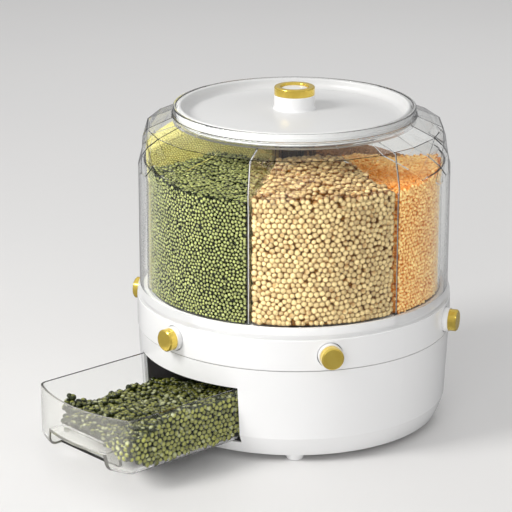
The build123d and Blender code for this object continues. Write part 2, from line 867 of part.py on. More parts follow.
with BuildPart() as collar:
    # Tube with the lip that carries the lid, and the bead that rests on the cover
    with BuildSketch(Plane.XY.offset(lid_seat - lip_thickness)):
        Circle(collar_radius)
        Circle(collar_inner - lip_width, mode=Mode.SUBTRACT)
    extrude(amount=collar_top - lid_seat + lip_thickness)
    with BuildSketch(Plane.XY.offset(lid_seat)):
        Circle(collar_inner)
    extrude(amount=collar_top - lid_seat, mode=Mode.SUBTRACT)
    fillet(collar.faces().sort_by(Axis.Z)[-1].edges(), edge_break)
    with BuildSketch(Plane.XY.offset(collar_bottom)):
        Circle(collar_radius + collar_bead_width)
        Circle(collar_inner, mode=Mode.SUBTRACT)
    extrude(amount=collar_bead_height)
    outer_edges = collar.edges().filter_by(GeomType.CIRCLE).group_by(SortBy.RADIUS)[-1]
    fillet(outer_edges.sort_by(Axis.Z)[-1], collar_bead_height / 2)
finish(collar.part, "collar")

# Buttons: one set is drawn on the cup's side, then turned round to each bin

with BuildPart() as gate:
    with BuildSketch(turned(0).offset(gate_bottom)):
        with Locations((gate_inner, 0)):
            Rectangle(
                gate_neck - gate_inner, 2 * gate_half_width, align=(Align.MIN, Align.CENTER)
            )
        with Locations((gate_neck - gate_overlap, 0)):
            Rectangle(
                sleeve_inner_end + gate_root - gate_neck,
                2 * sleeve_radius - sleeve_wall,
                align=(Align.MIN, Align.CENTER),
            )
    extrude(amount=gate_thickness)
    # Sleeve with its face and the spigot for the cap
    with BuildSketch(radial(0, sleeve_inner_end, button_height)):
        Circle(sleeve_radius)
        Circle(sleeve_radius - sleeve_wall, mode=Mode.SUBTRACT)
    extrude(amount=sleeve_face - sleeve_inner_end)
    with BuildSketch(radial(0, sleeve_face - sleeve_face_wall, button_height)):
        Circle(sleeve_radius - sleeve_wall / 2)
    extrude(amount=sleeve_face_wall)
    with BuildSketch(radial(0, sleeve_face, button_height)):
        Circle(spigot_radius)
    extrude(amount=spigot_length)
    # Window that lets the grain through, and the slot for the spring and its stop
    with BuildSketch(turned(0).offset(gate_bottom)):
        with Locations((window_inner, 0)):
            Rectangle(outlet_length, 2 * outlet_half_width, align=(Align.MIN, Align.CENTER))
        with Locations((stop_inner - slide_gap, 0)):
            Rectangle(
                sleeve_inner_end + gate_root + gate_overlap - stop_inner,
                2 * (spring_radius + spring_wire + fit_gap + slide_gap),
                align=(Align.MIN, Align.CENTER),
            )
    extrude(amount=gate_thickness, mode=Mode.SUBTRACT)

with BuildPart() as button_cap:
    with BuildSketch(radial(0, sleeve_face, button_height)):
        Circle(cap_radius)
    extrude(amount=cap_face - sleeve_face)
    chamfer(button_cap.faces().sort_by(Axis.Y)[0].edges(), cap_bevel)
    with BuildSketch(radial(0, sleeve_face, button_height)):
        Circle(spigot_radius + fit_gap)
    extrude(amount=spigot_length + fit_gap, mode=Mode.SUBTRACT)

with BuildPart() as button_spring:
    with BuildLine() as coil:
        Helix(
            pitch=(spring_outer - spring_inner - 2 * spring_wire) / spring_turns,
            height=spring_outer - spring_inner - 2 * spring_wire,
            radius=spring_radius,
            center=(0, -spring_inner - spring_wire, button_height),
            direction=(0, -1, 0),
        )
    with BuildSketch(Plane(origin=coil.line @ 0, z_dir=coil.line % 0)):
        Circle(spring_wire)
    sweep()

for number, angle in enumerate(bin_angles, 1):
    finish(Rot(0, 0, angle) * gate.part, f"gate_{number}")
    finish(Rot(0, 0, angle) * button_cap.part, f"button_cap_{number}")
    finish(Rot(0, 0, angle) * button_spring.part, f"button_spring_{number}")

# Lid: a shallow dish with a domed floor, and its knob

with BuildPart() as lid:
    with BuildSketch(Plane.XZ):
        with BuildLine():
            crown = Line((0, lid_crown), (knob_crown, lid_crown))
            dome = ThreePointArc(
                crown @ 1, (dome_middle, lid_crown - dome_sag), (lid_rim_inner, lid_gutter)
            )
            Polyline(
                dome @ 1,
                (lid_rim_inner, collar_top),
                (lid_radius, collar_top),
                (lid_radius, lid_bottom),
                (lid_rim_inner - lid_heel, lid_bottom),
            )
            under = ThreePointArc(
                (lid_rim_inner - lid_heel, lid_bottom),
                (dome_middle, lid_crown - dome_sag - lid_wall),
                (knob_crown, lid_crown - lid_wall),
            )
            Polyline(under @ 1, (0, lid_crown - lid_wall), crown @ 0)
        make_face()
    revolve(axis=Axis.Z)
    gutter = lid.edges().filter_by(GeomType.CIRCLE).filter_by(
        lambda edge: abs(edge.radius - lid_rim_inner) < fit_gap and edge.center().Z < lid_crown
    )
    fillet(gutter, lid_fillet)
    fillet(lid.edges().filter_by(GeomType.CIRCLE).group_by(Axis.Z)[-1], lid_rim_round)
    # Groove for the seal, and the hole for the knob's screw
    with BuildSketch(Plane.XY.offset(seal_bottom)):
        Circle(lid_radius + overshoot)
        Circle(lid_radius - seal_depth, mode=Mode.SUBTRACT)
    extrude(amount=seal_height, mode=Mode.SUBTRACT)
    with BuildSketch(Plane.XY.offset(lid_crown)):
        Circle(knob_screw_radius + slide_gap)
    extrude(amount=-2 * lid_wall, mode=Mode.SUBTRACT)
finish(lid.part, "lid")

with BuildPart() as lid_seal:
    with BuildSketch(Plane.XY.offset(seal_bottom)):
        Circle(collar_inner - slide_gap)
        Circle(lid_radius - seal_depth, mode=Mode.SUBTRACT)
    extrude(amount=seal_height)
    fillet(lid_seal.faces().filter_by(GeomType.CYLINDER).sort_by(SortBy.AREA)[-1].edges(), seal_round)
finish(lid_seal.part, "lid_seal")

with BuildPart() as knob:
    with BuildSketch(Plane.XZ):
        with BuildLine():
            inner_edge = Polyline(
                (0, lid_crown),
                (0, knob_shelf + knob_seat),
                (knob_seat_radius, knob_shelf + knob_seat),
                (knob_seat_radius, knob_shelf),
                (knob_radius, knob_shelf),
            )
            side = Spline(
                inner_edge @ 1,
                (knob_radius + fit_gap, (lid_crown + knob_shelf) / 2),
                (knob_foot_radius, lid_crown),
                tangents=((0, -1), (1, -1)),
            )
            Polyline(
                side @ 1,
                (knob_foot_radius - knob_wall, lid_crown),
                (knob_radius - knob_wall, knob_shelf - knob_wall),
                (knob_boss_radius, knob_shelf - knob_wall),
                (knob_boss_radius, lid_crown),
                (0, lid_crown),
            )
        make_face()
    revolve(axis=Axis.Z)
    with BuildSketch(Plane.XY.offset(lid_crown)):
        Circle(knob_screw_radius + fit_gap)
    extrude(amount=knob_screw_top - lid_crown + fit_gap, mode=Mode.SUBTRACT)
finish(knob.part, "knob")

with BuildPart() as knob_ring:
    with BuildSketch(Plane.XY.offset(knob_shelf)):
        Circle(knob_ring_radius)
        Circle(knob_ring_radius - knob_ring_wall, mode=Mode.SUBTRACT)
    extrude(amount=knob_ring_height)
    fillet(knob_ring.faces().sort_by(Axis.Z)[-1].edges(), knob_ring_round)
finish(knob_ring.part, "knob_ring")

with BuildPart() as knob_cap:
    with BuildSketch(Plane.XY.offset(knob_shelf + knob_seat)):
        Circle(knob_seat_radius)
    extrude(amount=knob_ring_height - knob_seat - knob_recess)
    fillet(knob_cap.faces().sort_by(Axis.Z)[-1].edges(), edge_break)
finish(knob_cap.part, "knob_cap")

with BuildPart() as knob_screw:
    with BuildSketch(Plane.XY.offset(lid_crown - lid_wall)):
        Circle(knob_screw_head)
    extrude(amount=-screw_head_height)
    with BuildSketch(Plane.XY.offset(lid_crown - lid_wall - screw_head_height)):
        RegularPolygon(screw_radius, 6)
    extrude(amount=screw_head_height / 2, mode=Mode.SUBTRACT)
    with BuildSketch(Plane.XY.offset(lid_crown - lid_wall)):
        Circle(knob_screw_radius)
    extrude(amount=knob_screw_length)
finish(knob_screw.part, "knob_screw")
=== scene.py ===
import bpy
import numpy as np
from math import cos, pi, radians, sin
from mathutils import Euler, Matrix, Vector


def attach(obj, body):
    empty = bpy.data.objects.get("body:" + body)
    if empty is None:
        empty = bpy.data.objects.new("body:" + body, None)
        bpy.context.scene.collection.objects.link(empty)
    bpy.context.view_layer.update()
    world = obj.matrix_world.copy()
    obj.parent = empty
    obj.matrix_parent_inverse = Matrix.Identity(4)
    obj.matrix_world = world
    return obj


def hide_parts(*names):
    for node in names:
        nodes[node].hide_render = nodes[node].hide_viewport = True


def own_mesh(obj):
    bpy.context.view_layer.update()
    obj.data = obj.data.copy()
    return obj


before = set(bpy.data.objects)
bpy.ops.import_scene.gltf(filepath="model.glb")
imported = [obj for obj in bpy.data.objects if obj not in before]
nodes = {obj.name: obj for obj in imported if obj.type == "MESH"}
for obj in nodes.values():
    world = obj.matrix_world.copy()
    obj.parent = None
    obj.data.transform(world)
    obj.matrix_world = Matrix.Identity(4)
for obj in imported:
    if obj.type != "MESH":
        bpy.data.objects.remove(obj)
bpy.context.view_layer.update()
scene = bpy.context.scene
scene.view_settings.view_transform = "Standard"
bpy.ops.object.select_all(action="DESELECT")
print("frame loaded,", len(nodes), "parts")

# Camera, stage and lamps
viewpoint = {"turn": 48.1, "rise": 17.5, "distance": 2.05, "height": 0.130, "left": 0.0325, "up": 0.0092,
             "lens": 167.06, "sensor": 36, "farthest": 50}
stage = {"size": 9.0, "tone": (0.80, 0.79, 0.78), "shade": (0.77, 0.765, 0.76), "mottleScale": 3.0, "shine": 0.5}
surroundings = {"low": (0.36, 0.36, 0.37), "lowAt": 0.40, "high": (0.98, 0.98, 0.98), "highAt": 0.85,
                "strength": 0.64}
lampTarget = (0, 0, 0.13)
lamps = [  # name, turn, rise, distance, size, power, colour
    ("windowLamp", -14, 36, 1.7, (0.5, 0.6), 17.0, (1.0, 0.99, 0.97)),
    ("frontLamp", 36, 16, 2.0, (1.1, 0.9), 10.5, (1.0, 1.0, 1.0)),
    ("backLamp", 215, 38, 1.9, (1.6, 0.8), 5.0, (0.97, 0.98, 1.0)),
    ("stripLamp", 118, 20, 1.5, (0.10, 1.0), 0.7, (1.0, 1.0, 1.0)),
]


def placeAt(turn, rise, distance, middle):
    t, r = radians(turn), radians(rise)
    return Vector(middle) + distance * Vector((sin(t) * cos(r), -cos(t) * cos(r), sin(r)))


def aimAt(thing, target):
    thing.rotation_euler = (Vector(target) - thing.location).to_track_quat("-Z", "Y").to_euler()


turn, rise = radians(viewpoint["turn"]), radians(viewpoint["rise"])
rightward = Vector((cos(turn), sin(turn), 0))
upward = Vector((-sin(turn) * sin(rise), cos(turn) * sin(rise), cos(rise)))
target = Vector((0, 0, viewpoint["height"])) - rightward * viewpoint["left"] + upward * viewpoint["up"]
bpy.ops.object.camera_add()
camera = bpy.context.object
camera.name = "viewCamera"
camera.location = placeAt(viewpoint["turn"], viewpoint["rise"], viewpoint["distance"], target)
aimAt(camera, target)
camera.data.lens = viewpoint["lens"]
camera.data.sensor_width = viewpoint["sensor"]
camera.data.clip_end = viewpoint["farthest"]
scene.camera = camera

for name, lampTurn, lampRise, distance, size, power, colour in lamps:
    bpy.ops.object.light_add(type="AREA")
    lamp = bpy.context.object
    lamp.name = name
    lamp.location = placeAt(lampTurn, lampRise, distance, lampTarget)
    aimAt(lamp, lampTarget)
    lamp.data.shape = "RECTANGLE"
    lamp.data.size, lamp.data.size_y = size
    lamp.data.energy = power
    lamp.data.color = colour
    lamp.visible_glossy = name not in ("frontLamp", "backLamp")


# Shader helpers
def addNode(tree, kind, **settings):
    made = tree.nodes.new(kind)
    for key, value in settings.items():
        setattr(made, key, value)
    return made


def setInputs(shaderNode, **values):
    for key, value in values.items():
        shaderNode.inputs[key.replace("_", " ")].default_value = value


def newGroup(name, inputs, outputs):
    tree = bpy.data.node_groups.new(name, "ShaderNodeTree")
    for label, kind, value in inputs:
        socket = tree.interface.new_socket(label, in_out="INPUT", socket_type=kind)
        socket.default_value = value
    for label, kind in outputs:
        tree.interface.new_socket(label, in_out="OUTPUT", socket_type=kind)
    return tree, addNode(tree, "NodeGroupInput"), addNode(tree, "NodeGroupOutput")


def newMaterial(name):
    material = bpy.data.materials.new(name)
    material.use_nodes = True
    return material, material.node_tree, material.node_tree.nodes["Principled BSDF"]


def addGroup(tree, group, **values):
    made = addNode(tree, "ShaderNodeGroup", node_tree=group)
    setInputs(made, **values)
    return made


def addBump(tree, shader, height, strength, distance):
    bump = addNode(tree, "ShaderNodeBump")
    setInputs(bump, Strength=strength, Distance=distance)
    tree.links.new(height, bump.inputs["Height"])
    tree.links.new(bump.outputs["Normal"], shader.inputs["Normal"])


floatSocket, colourSocket = "NodeSocketFloat", "NodeSocketColor"


# Moulded surface: a faint mottle in the colour, uneven shine, and the fine skin left by the mould
def makeMouldedSkin():
    tree, given, result = newGroup(
        "mouldedSkin",
        [("Base", colourSocket, (0.8, 0.8, 0.8, 1)), ("Shade", colourSocket, (0.75, 0.75, 0.75, 1)),
         ("Mottle Scale", floatSocket, 18.0), ("Skin Scale", floatSocket, 900.0),
         ("Shine", floatSocket, 0.25), ("Shine Spread", floatSocket, 0.08)],
        [("Color", colourSocket), ("Roughness", floatSocket), ("Height", floatSocket)])
    place = addNode(tree, "ShaderNodeTexCoord")
    mottle = addNode(tree, "ShaderNodeTexNoise")
    setInputs(mottle, Detail=4.0, Roughness=0.6)
    skin = addNode(tree, "ShaderNodeTexNoise")
    setInputs(skin, Detail=2.0)
    blend = addNode(tree, "ShaderNodeMix", data_type="RGBA")
    spread = addNode(tree, "ShaderNodeMath", operation="MULTIPLY_ADD")
    for one in (mottle, skin):
        tree.links.new(place.outputs["Object"], one.inputs["Vector"])
    tree.links.new(given.outputs["Mottle Scale"], mottle.inputs["Scale"])
    tree.links.new(given.outputs["Skin Scale"], skin.inputs["Scale"])
    tree.links.new(mottle.outputs["Fac"], blend.inputs[0])
    tree.links.new(given.outputs["Base"], blend.inputs[6])
    tree.links.new(given.outputs["Shade"], blend.inputs[7])
    tree.links.new(mottle.outputs["Fac"], spread.inputs[0])
    tree.links.new(given.outputs["Shine Spread"], spread.inputs[1])
    tree.links.new(given.outputs["Shine"], spread.inputs[2])
    tree.links.new(blend.outputs[2], result.inputs["Color"])
    tree.links.new(spread.outputs[0], result.inputs["Roughness"])
    tree.links.new(skin.outputs["Fac"], result.inputs["Height"])
    return tree


# Grain skin: each grain has its own tone, a paler or darker patch round its eye, and fine wrinkles. Its side facing
# out of the heap is painted lit and its side facing in is painted in shade
def makeGrainSkin():
    tree, given, result = newGroup(
        "grainSkin",
        [("Tone", floatSocket, 0.5), ("Eye", floatSocket, 0.0), ("Depth", floatSocket, 0.0),
         ("Deep", colourSocket, (0.2, 0.2, 0.1, 1)),
         ("Pale", colourSocket, (0.6, 0.6, 0.3, 1)), ("Eye Colour", colourSocket, (0.1, 0.1, 0.1, 1)),
         ("Shine", floatSocket, 0.4), ("Reach", floatSocket, 0.36)],
        [("Color", colourSocket), ("Roughness", floatSocket), ("Height", floatSocket)])
    place = addNode(tree, "ShaderNodeTexCoord")
    cloud = addNode(tree, "ShaderNodeTexNoise")
    setInputs(cloud, Scale=260.0, Detail=2.0)
    wrinkle = addNode(tree, "ShaderNodeTexNoise")
    setInputs(wrinkle, Scale=1500.0, Detail=2.0)
    mixed = addNode(tree, "ShaderNodeMath", operation="MULTIPLY_ADD")
    mixed.inputs[1].default_value = 0.35
    shift = addNode(tree, "ShaderNodeMath", operation="SUBTRACT", use_clamp=True)
    shift.inputs[1].default_value = 0.17
    # painted shade: from the grain's side facing out to its side facing in, the colour goes from the lit colour to
    # the shaded colour
    litShare = addNode(tree, "ShaderNodeMapRange", interpolation_type="SMOOTHSTEP")
    setInputs(litShare, From_Min=0.03, To_Min=1.0, To_Max=0.0)
    lit = addNode(tree, "ShaderNodeMath", operation="MULTIPLY")
    body = addNode(tree, "ShaderNodeMix", data_type="RGBA")
    eyed = addNode(tree, "ShaderNodeMix", data_type="RGBA")
    spread = addNode(tree, "ShaderNodeMath", operation="MULTIPLY_ADD")
    spread.inputs[1].default_value = 0.15
    for one in (cloud, wrinkle):
        tree.links.new(place.outputs["Object"], one.inputs["Vector"])
    tree.links.new(cloud.outputs["Fac"], mixed.inputs[0])
    tree.links.new(given.outputs["Tone"], mixed.inputs[2])
    tree.links.new(mixed.outputs[0], shift.inputs[0])
    tree.links.new(given.outputs["Depth"], litShare.inputs["Value"])
    tree.links.new(given.outputs["Reach"], litShare.inputs["From Max"])
    tree.links.new(shift.outputs[0], lit.inputs[0])
    tree.links.new(litShare.outputs["Result"], lit.inputs[1])
    tree.links.new(lit.outputs[0], body.inputs[0])
    tree.links.new(given.outputs["Deep"], body.inputs[6])
    tree.links.new(given.outputs["Pale"], body.inputs[7])
    tree.links.new(given.outputs["Eye"], eyed.inputs[0])
    tree.links.new(body.outputs[2], eyed.inputs[6])
    tree.links.new(given.outputs["Eye Colour"], eyed.inputs[7])
    tree.links.new(cloud.outputs["Fac"], spread.inputs[0])
    tree.links.new(given.outputs["Shine"], spread.inputs[2])
    tree.links.new(eyed.outputs[2], result.inputs["Color"])
    tree.links.new(spread.outputs[0], result.inputs["Roughness"])
    tree.links.new(wrinkle.outputs["Fac"], result.inputs["Height"])
    return tree


# Handling marks: hair scratches and smudges that dull a clear or polished face a little
def makeHandlingMarks():
    tree, given, result = newGroup(
        "handlingMarks",
        [("Scale", floatSocket, 60.0), ("Clean", floatSocket, 0.01), ("Dull", floatSocket, 0.05)],
        [("Roughness", floatSocket), ("Mask", floatSocket)])
    place = addNode(tree, "ShaderNodeTexCoord")
    smudge = addNode(tree, "ShaderNodeTexNoise")
    setInputs(smudge, Detail=3.0, Distortion=0.8)
    sharpen = addNode(tree, "ShaderNodeMapRange")
    setInputs(sharpen, From_Min=0.45, From_Max=0.75)
    blend = addNode(tree, "ShaderNodeMix", data_type="FLOAT")
    tree.links.new(place.outputs["Object"], smudge.inputs["Vector"])
    tree.links.new(given.outputs["Scale"], smudge.inputs["Scale"])
    tree.links.new(smudge.outputs["Fac"], sharpen.inputs["Value"])
    tree.links.new(sharpen.outputs["Result"], blend.inputs[0])
    tree.links.new(given.outputs["Clean"], blend.inputs[2])
    tree.links.new(given.outputs["Dull"], blend.inputs[3])
    tree.links.new(blend.outputs[0], result.inputs["Roughness"])
    tree.links.new(sharpen.outputs["Result"], result.inputs["Mask"])
    return tree


mouldedSkin = makeMouldedSkin()
grainSkin = makeGrainSkin()
handlingMarks = makeHandlingMarks()


def mouldedPlastic(name, base, shade, shine, coat=0.0, skinScale=900.0, skinStrength=0.04, mottleScale=18.0):
    material, tree, shader = newMaterial(name)
    skin = addGroup(tree, mouldedSkin, Base=(*base, 1), Shade=(*shade, 1), Shine=shine, Skin_Scale=skinScale,
                    Mottle_Scale=mottleScale)
    tree.links.new(skin.outputs["Color"], shader.inputs["Base Color"])
    tree.links.new(skin.outputs["Roughness"], shader.inputs["Roughness"])
    addBump(tree, shader, skin.outputs["Height"], skinStrength, 0.0002)
    setInputs(shader, Coat_Weight=coat, Coat_Roughness=0.08, IOR=1.5)
    return material


clearLook = {"gloss": (0.4, 0.4, 0.4), "shadow": (0.985, 0.985, 0.985), "satin": (0.80, 0.78, 0.72), "marks": 35.0}


# Clear plastic: light from the lamps passes straight to the grain, and everything else bends
def clearPlastic(name, tint, clean, dull, bending=1.49, haze=0.0, hazeFrom=-1.0, hazeTo=-1.1):
    material, tree, shader = newMaterial(name)
    marks = addGroup(tree, handlingMarks, Scale=clearLook["marks"], Clean=clean, Dull=dull)
    tree.links.new(marks.outputs["Roughness"], shader.inputs["Roughness"])
    setInputs(shader, Base_Color=(*tint, 1), Transmission_Weight=1.0, IOR=bending,
              Specular_Tint=(*clearLook["gloss"], 1))
    through = addNode(tree, "ShaderNodeBsdfTransparent")
    through.inputs["Color"].default_value = (*clearLook["shadow"], 1)
    rays = addNode(tree, "ShaderNodeLightPath")
    choose = addNode(tree, "ShaderNodeMixShader")
    tree.links.new(rays.outputs["Is Shadow Ray"], choose.inputs[0])
    tree.links.new(shader.outputs[0], choose.inputs[1])
    tree.links.new(through.outputs[0], choose.inputs[2])
    tree.links.new(choose.outputs[0], tree.nodes["Material Output"].inputs["Surface"])
    if haze:
        # a satin band that begins at one depth of the piece and grows towards its front
        place = addNode(tree, "ShaderNodeTexCoord")
        split = addNode(tree, "ShaderNodeSeparateXYZ")
        band = addNode(tree, "ShaderNodeMapRange")
        setInputs(band, From_Min=hazeFrom, From_Max=hazeTo, To_Max=haze)
        satin = addNode(tree, "ShaderNodeBsdfDiffuse")
        satin.inputs["Color"].default_value = (*clearLook["satin"], 1)
        veil = addNode(tree, "ShaderNodeMixShader")
        tree.links.new(place.outputs["Object"], split.inputs[0])
        tree.links.new(split.outputs["Y"], band.inputs["Value"])
        tree.links.new(band.outputs["Result"], veil.inputs[0])
        tree.links.new(shader.outputs[0], veil.inputs[1])
        tree.links.new(satin.outputs[0], veil.inputs[2])
        tree.links.new(veil.outputs[0], choose.inputs[1])
    return material


def platedMetal(name, colour, shade, clean, dull, metal=1.0, mottleScale=120.0):
    material, tree, shader = newMaterial(name)
    marks = addGroup(tree, handlingMarks, Scale=90.0, Clean=clean, Dull=dull)
    skin = addGroup(tree, mouldedSkin, Base=(*colour, 1), Shade=(*shade, 1), Mottle_Scale=mottleScale,
                    Skin_Scale=1400.0)
    tree.links.new(skin.outputs["Color"], shader.inputs["Base Color"])
    tree.links.new(marks.outputs["Roughness"], shader.inputs["Roughness"])
    addBump(tree, shader, skin.outputs["Height"], 0.03, 0.0001)
    setInputs(shader, Metallic=metal)
    return material


def grainMaterial(name, kind, wrinkle=0.15):
    material, tree, shader = newMaterial(name)
    tone = addNode(tree, "ShaderNodeAttribute", attribute_name="tone")
    eyeMask = addNode(tree, "ShaderNodeAttribute", attribute_name="eye")
    depth = addNode(tree, "ShaderNodeAttribute", attribute_name="depth")
    skin = addGroup(tree, grainSkin, Deep=(*kind["shadedColour"], 1), Pale=(*kind["litColour"], 1), Eye_Colour=(*kind["eye"], 1),
                    Shine=kind["shine"], Reach=kind["reach"])
    tree.links.new(tone.outputs["Fac"], skin.inputs["Tone"])
    tree.links.new(eyeMask.outputs["Fac"], skin.inputs["Eye"])
    tree.links.new(depth.outputs["Fac"], skin.inputs["Depth"])
    tree.links.new(skin.outputs["Color"], shader.inputs["Base Color"])
    tree.links.new(skin.outputs["Roughness"], shader.inputs["Roughness"])
    addBump(tree, shader, skin.outputs["Height"], wrinkle, 0.0002)
    # painted light: the grain glows a little in its own colour
    tree.links.new(skin.outputs["Color"], shader.inputs["Emission Color"])
    setInputs(shader, Emission_Strength=kind["glow"])
    return material


# painted shade: the lid is a darker white than the body, for the lesser light on its top
lidShadedWhite = mouldedPlastic("lidShadedWhite", (0.74, 0.74, 0.735), (0.72, 0.72, 0.715), 0.28)
glossWhite = mouldedPlastic("glossWhite", (0.90, 0.90, 0.90), (0.88, 0.88, 0.88), 0.20, coat=0.25)
innerWhite = mouldedPlastic("innerWhite", (0.78, 0.78, 0.78), (0.74, 0.74, 0.74), 0.42, skinStrength=0.10)
footRubber = mouldedPlastic("footRubber", (0.80, 0.80, 0.79), (0.72, 0.72, 0.71), 0.55, skinStrength=0.15)
darkLiner = mouldedPlastic("darkLiner", (0.055, 0.05, 0.052), (0.075, 0.07, 0.07), 0.45, skinStrength=0.12)
bearingPlastic = mouldedPlastic("bearingPlastic", (0.70, 0.66, 0.55), (0.64, 0.60, 0.50), 0.5, skinStrength=0.12)
sealRubber = mouldedPlastic("sealRubber", (0.66, 0.66, 0.66), (0.60, 0.60, 0.60), 0.6, skinStrength=0.12)
clearShell = clearPlastic("clearShell", (0.985, 0.99, 0.985), 0.006, 0.02)
cupClear = clearPlastic("cupClear", (0.985, 0.99, 0.985), 0.006, 0.02, haze=0.11, hazeFrom=-0.222, hazeTo=-0.236)
coverClear = clearPlastic("coverClear", (0.985, 0.99, 0.985), 0.006, 0.02, bending=1.36)
innerClear = clearPlastic("innerClear", (0.985, 0.99, 0.985), 0.006, 0.02, bending=1.08)
# painted highlight: a half-clear white that stands for the light caught by clear edges
edgeWhite = mouldedPlastic("edgeWhite", (1.0, 1.0, 1.0), (0.95, 0.95, 0.95), 0.35)
edgeWhite.node_tree.nodes["Principled BSDF"].inputs["Alpha"].default_value = 0.55
# painted reflection: the gold's broad mottle between bright and dark patches
goldPlate = platedMetal("goldPlate", (1.0, 0.80, 0.19), (0.70, 0.46, 0.05), 0.12, 0.24, metal=0.72,
                        mottleScale=60.0)
screwSteel = platedMetal("screwSteel", (0.60, 0.60, 0.61), (0.52, 0.52, 0.53), 0.25, 0.42)
print("materials made")

finishes = {
    "glossWhite": ["base_housing", "drum_ring", "hopper_tray", "knob", "knob_cap", "feet"]
                  + [f"gate_{k}" for k in range(1, 7)],
    "lidShadedWhite": ["lid"],
    "innerWhite": ["base_plate", "chute", "drum_plate"],
    "footRubber": ["centre_pad"],
    "darkLiner": ["cup_bay"],
    "clearShell": ["collar"] + [f"divider_{k}" for k in range(1, 7)],
    "cupClear": ["cup"],
    "coverClear": ["cover"],
    "innerClear": ["column", "bin_wall"],
    "bearingPlastic": ["ball_cage", "pivot_bush"],
    "sealRubber": ["lid_seal"],
    "goldPlate": ["knob_ring"] + [f"button_cap_{k}" for k in range(1, 7)],
    "screwSteel": ["base_screws", "drum_screws", "knob_screw", "pivot_post", "pivot_washer", "pivot_nut",
                   "bearing_balls"] + [f"button_spring_{k}" for k in range(1, 7)],
}
for materialName, members in finishes.items():
    for member in members:
        part = nodes[member]
        part.data.materials.clear()
        part.data.materials.append(bpy.data.materials[materialName])
print("parts finished")


# Floor and surroundings
def makeFloor():
    bpy.ops.mesh.primitive_plane_add(size=stage["size"], location=(0, 0, 0))
    floor = bpy.context.object
    floor.name = "floor"
    material, tree, shader = newMaterial("tableTop")
    skin = addGroup(tree, mouldedSkin, Base=(*stage["tone"], 1), Shade=(*stage["shade"], 1),
                    Mottle_Scale=stage["mottleScale"], Shine=stage["shine"])
    tree.links.new(skin.outputs["Color"], shader.inputs["Base Color"])
    tree.links.new(skin.outputs["Roughness"], shader.inputs["Roughness"])
    floor.data.materials.append(material)
    floor.visible_glossy = False


def makeSurroundings():
    world = bpy.data.worlds.new("softRoom")
    scene.world = world
    world.use_nodes = True
    tree = world.node_tree
    room = tree.nodes["Background"]
    way = addNode(tree, "ShaderNodeTexCoord")
    split = addNode(tree, "ShaderNodeSeparateXYZ")
    ramp = addNode(tree, "ShaderNodeValToRGB")
    ramp.color_ramp.elements[0].position = surroundings["lowAt"]
    ramp.color_ramp.elements[0].color = (*surroundings["low"], 1)
    ramp.color_ramp.elements[1].position = surroundings["highAt"]
    ramp.color_ramp.elements[1].color = (*surroundings["high"], 1)
    lift = addNode(tree, "ShaderNodeMath", operation="MULTIPLY_ADD")
    lift.inputs[1].default_value = 0.5
    lift.inputs[2].default_value = 0.5
    tree.links.new(way.outputs["Generated"], split.inputs[0])
    tree.links.new(split.outputs["Z"], lift.inputs[0])
    tree.links.new(lift.outputs[0], ramp.inputs[0])
    tree.links.new(ramp.outputs[0], room.inputs["Color"])
    room.inputs["Strength"].default_value = surroundings["strength"]


makeFloor()
makeSurroundings()
print("stage set")

# The clear cover
shell = {"radius": 0.1326, "wall": 0.0013, "facetWall": 0.0013, "facets": 22, "foot": 0.110, "skirt": 0.1078,
         "skirtRadius": 0.1320, "flange": 0.1346, "flangeTop": 0.114, "taperTop": 0.120, "hole": 0.1029,
         "bevel": 0.0004, "bevelFrom": 4.5, "smoothUpTo": 3, "blockTop": 0.280, "insideFoot": 0.104,
         "holeFrom": 0.250, "insetDrop": 0.7}
facetRings = [  # radius, height, half steps of turn
    (0.105, 0.2665, 0), (0.126, 0.2578, 0), (0.1286, 0.247, 1), (0.1306, 0.235, 0), (0.1342, 0.218, 1),
    (0.138, 0.200, 0), (0.138, 0.100, 0)]


def makeFacetBody(inset):
    # a grid bent round to rings of corners, cut to flat triangles and closed at both ends
    rows, columns = len(facetRings) - 1, shell["facets"]
    bpy.ops.object.select_all(action="DESELECT")
    bpy.ops.mesh.primitive_grid_add(x_subdivisions=columns, y_subdivisions=rows, size=1)
    body = bpy.context.object
    for vertex in body.data.vertices:
        radius, height, halfSteps = facetRings[round((vertex.co.y + 0.5) * rows)]
        t = 2 * pi * (round((vertex.co.x + 0.5) * columns) + halfSteps / 2) / columns - pi / 2
        vertex.co = ((radius - inset) * cos(t), (radius - inset) * sin(t), height - shell["insetDrop"] * inset)
    bpy.ops.object.mode_set(mode="EDIT")
    bpy.ops.mesh.select_all(action="SELECT")
    bpy.ops.mesh.remove_doubles(threshold=0.0001)
    bpy.ops.mesh.quads_convert_to_tris(quad_method="SHORTEST_DIAGONAL")
    bpy.ops.mesh.select_all(action="DESELECT")
    bpy.ops.mesh.select_non_manifold()
    bpy.ops.mesh.fill_holes(sides=0)
    bpy.ops.mesh.select_all(action="SELECT")
    bpy.ops.mesh.normals_make_consistent(inside=False)
    bpy.ops.object.mode_set(mode="OBJECT")
    return body


def makeDrum(radius, low, high, topRadius=None):
    # a round block between two heights, straight or tapered
    bpy.ops.object.select_all(action="DESELECT")
    bpy.ops.mesh.primitive_cone_add(vertices=192, radius1=radius, radius2=topRadius or radius, depth=high - low,
                                    location=(0, 0, (low + high) / 2))
    drum = bpy.context.object
    bpy.ops.object.transform_apply(location=True, rotation=True, scale=True)
    return drum


def combine(target, tool, operation):
    bpy.ops.object.select_all(action="DESELECT")
    bpy.context.view_layer.objects.active = target
    target.select_set(True)
    join = target.modifiers.new("join", "BOOLEAN")
    join.operation, join.solver, join.object = operation, "EXACT", tool
    bpy.ops.object.modifier_apply(modifier=join.name)
    bpy.data.objects.remove(tool)


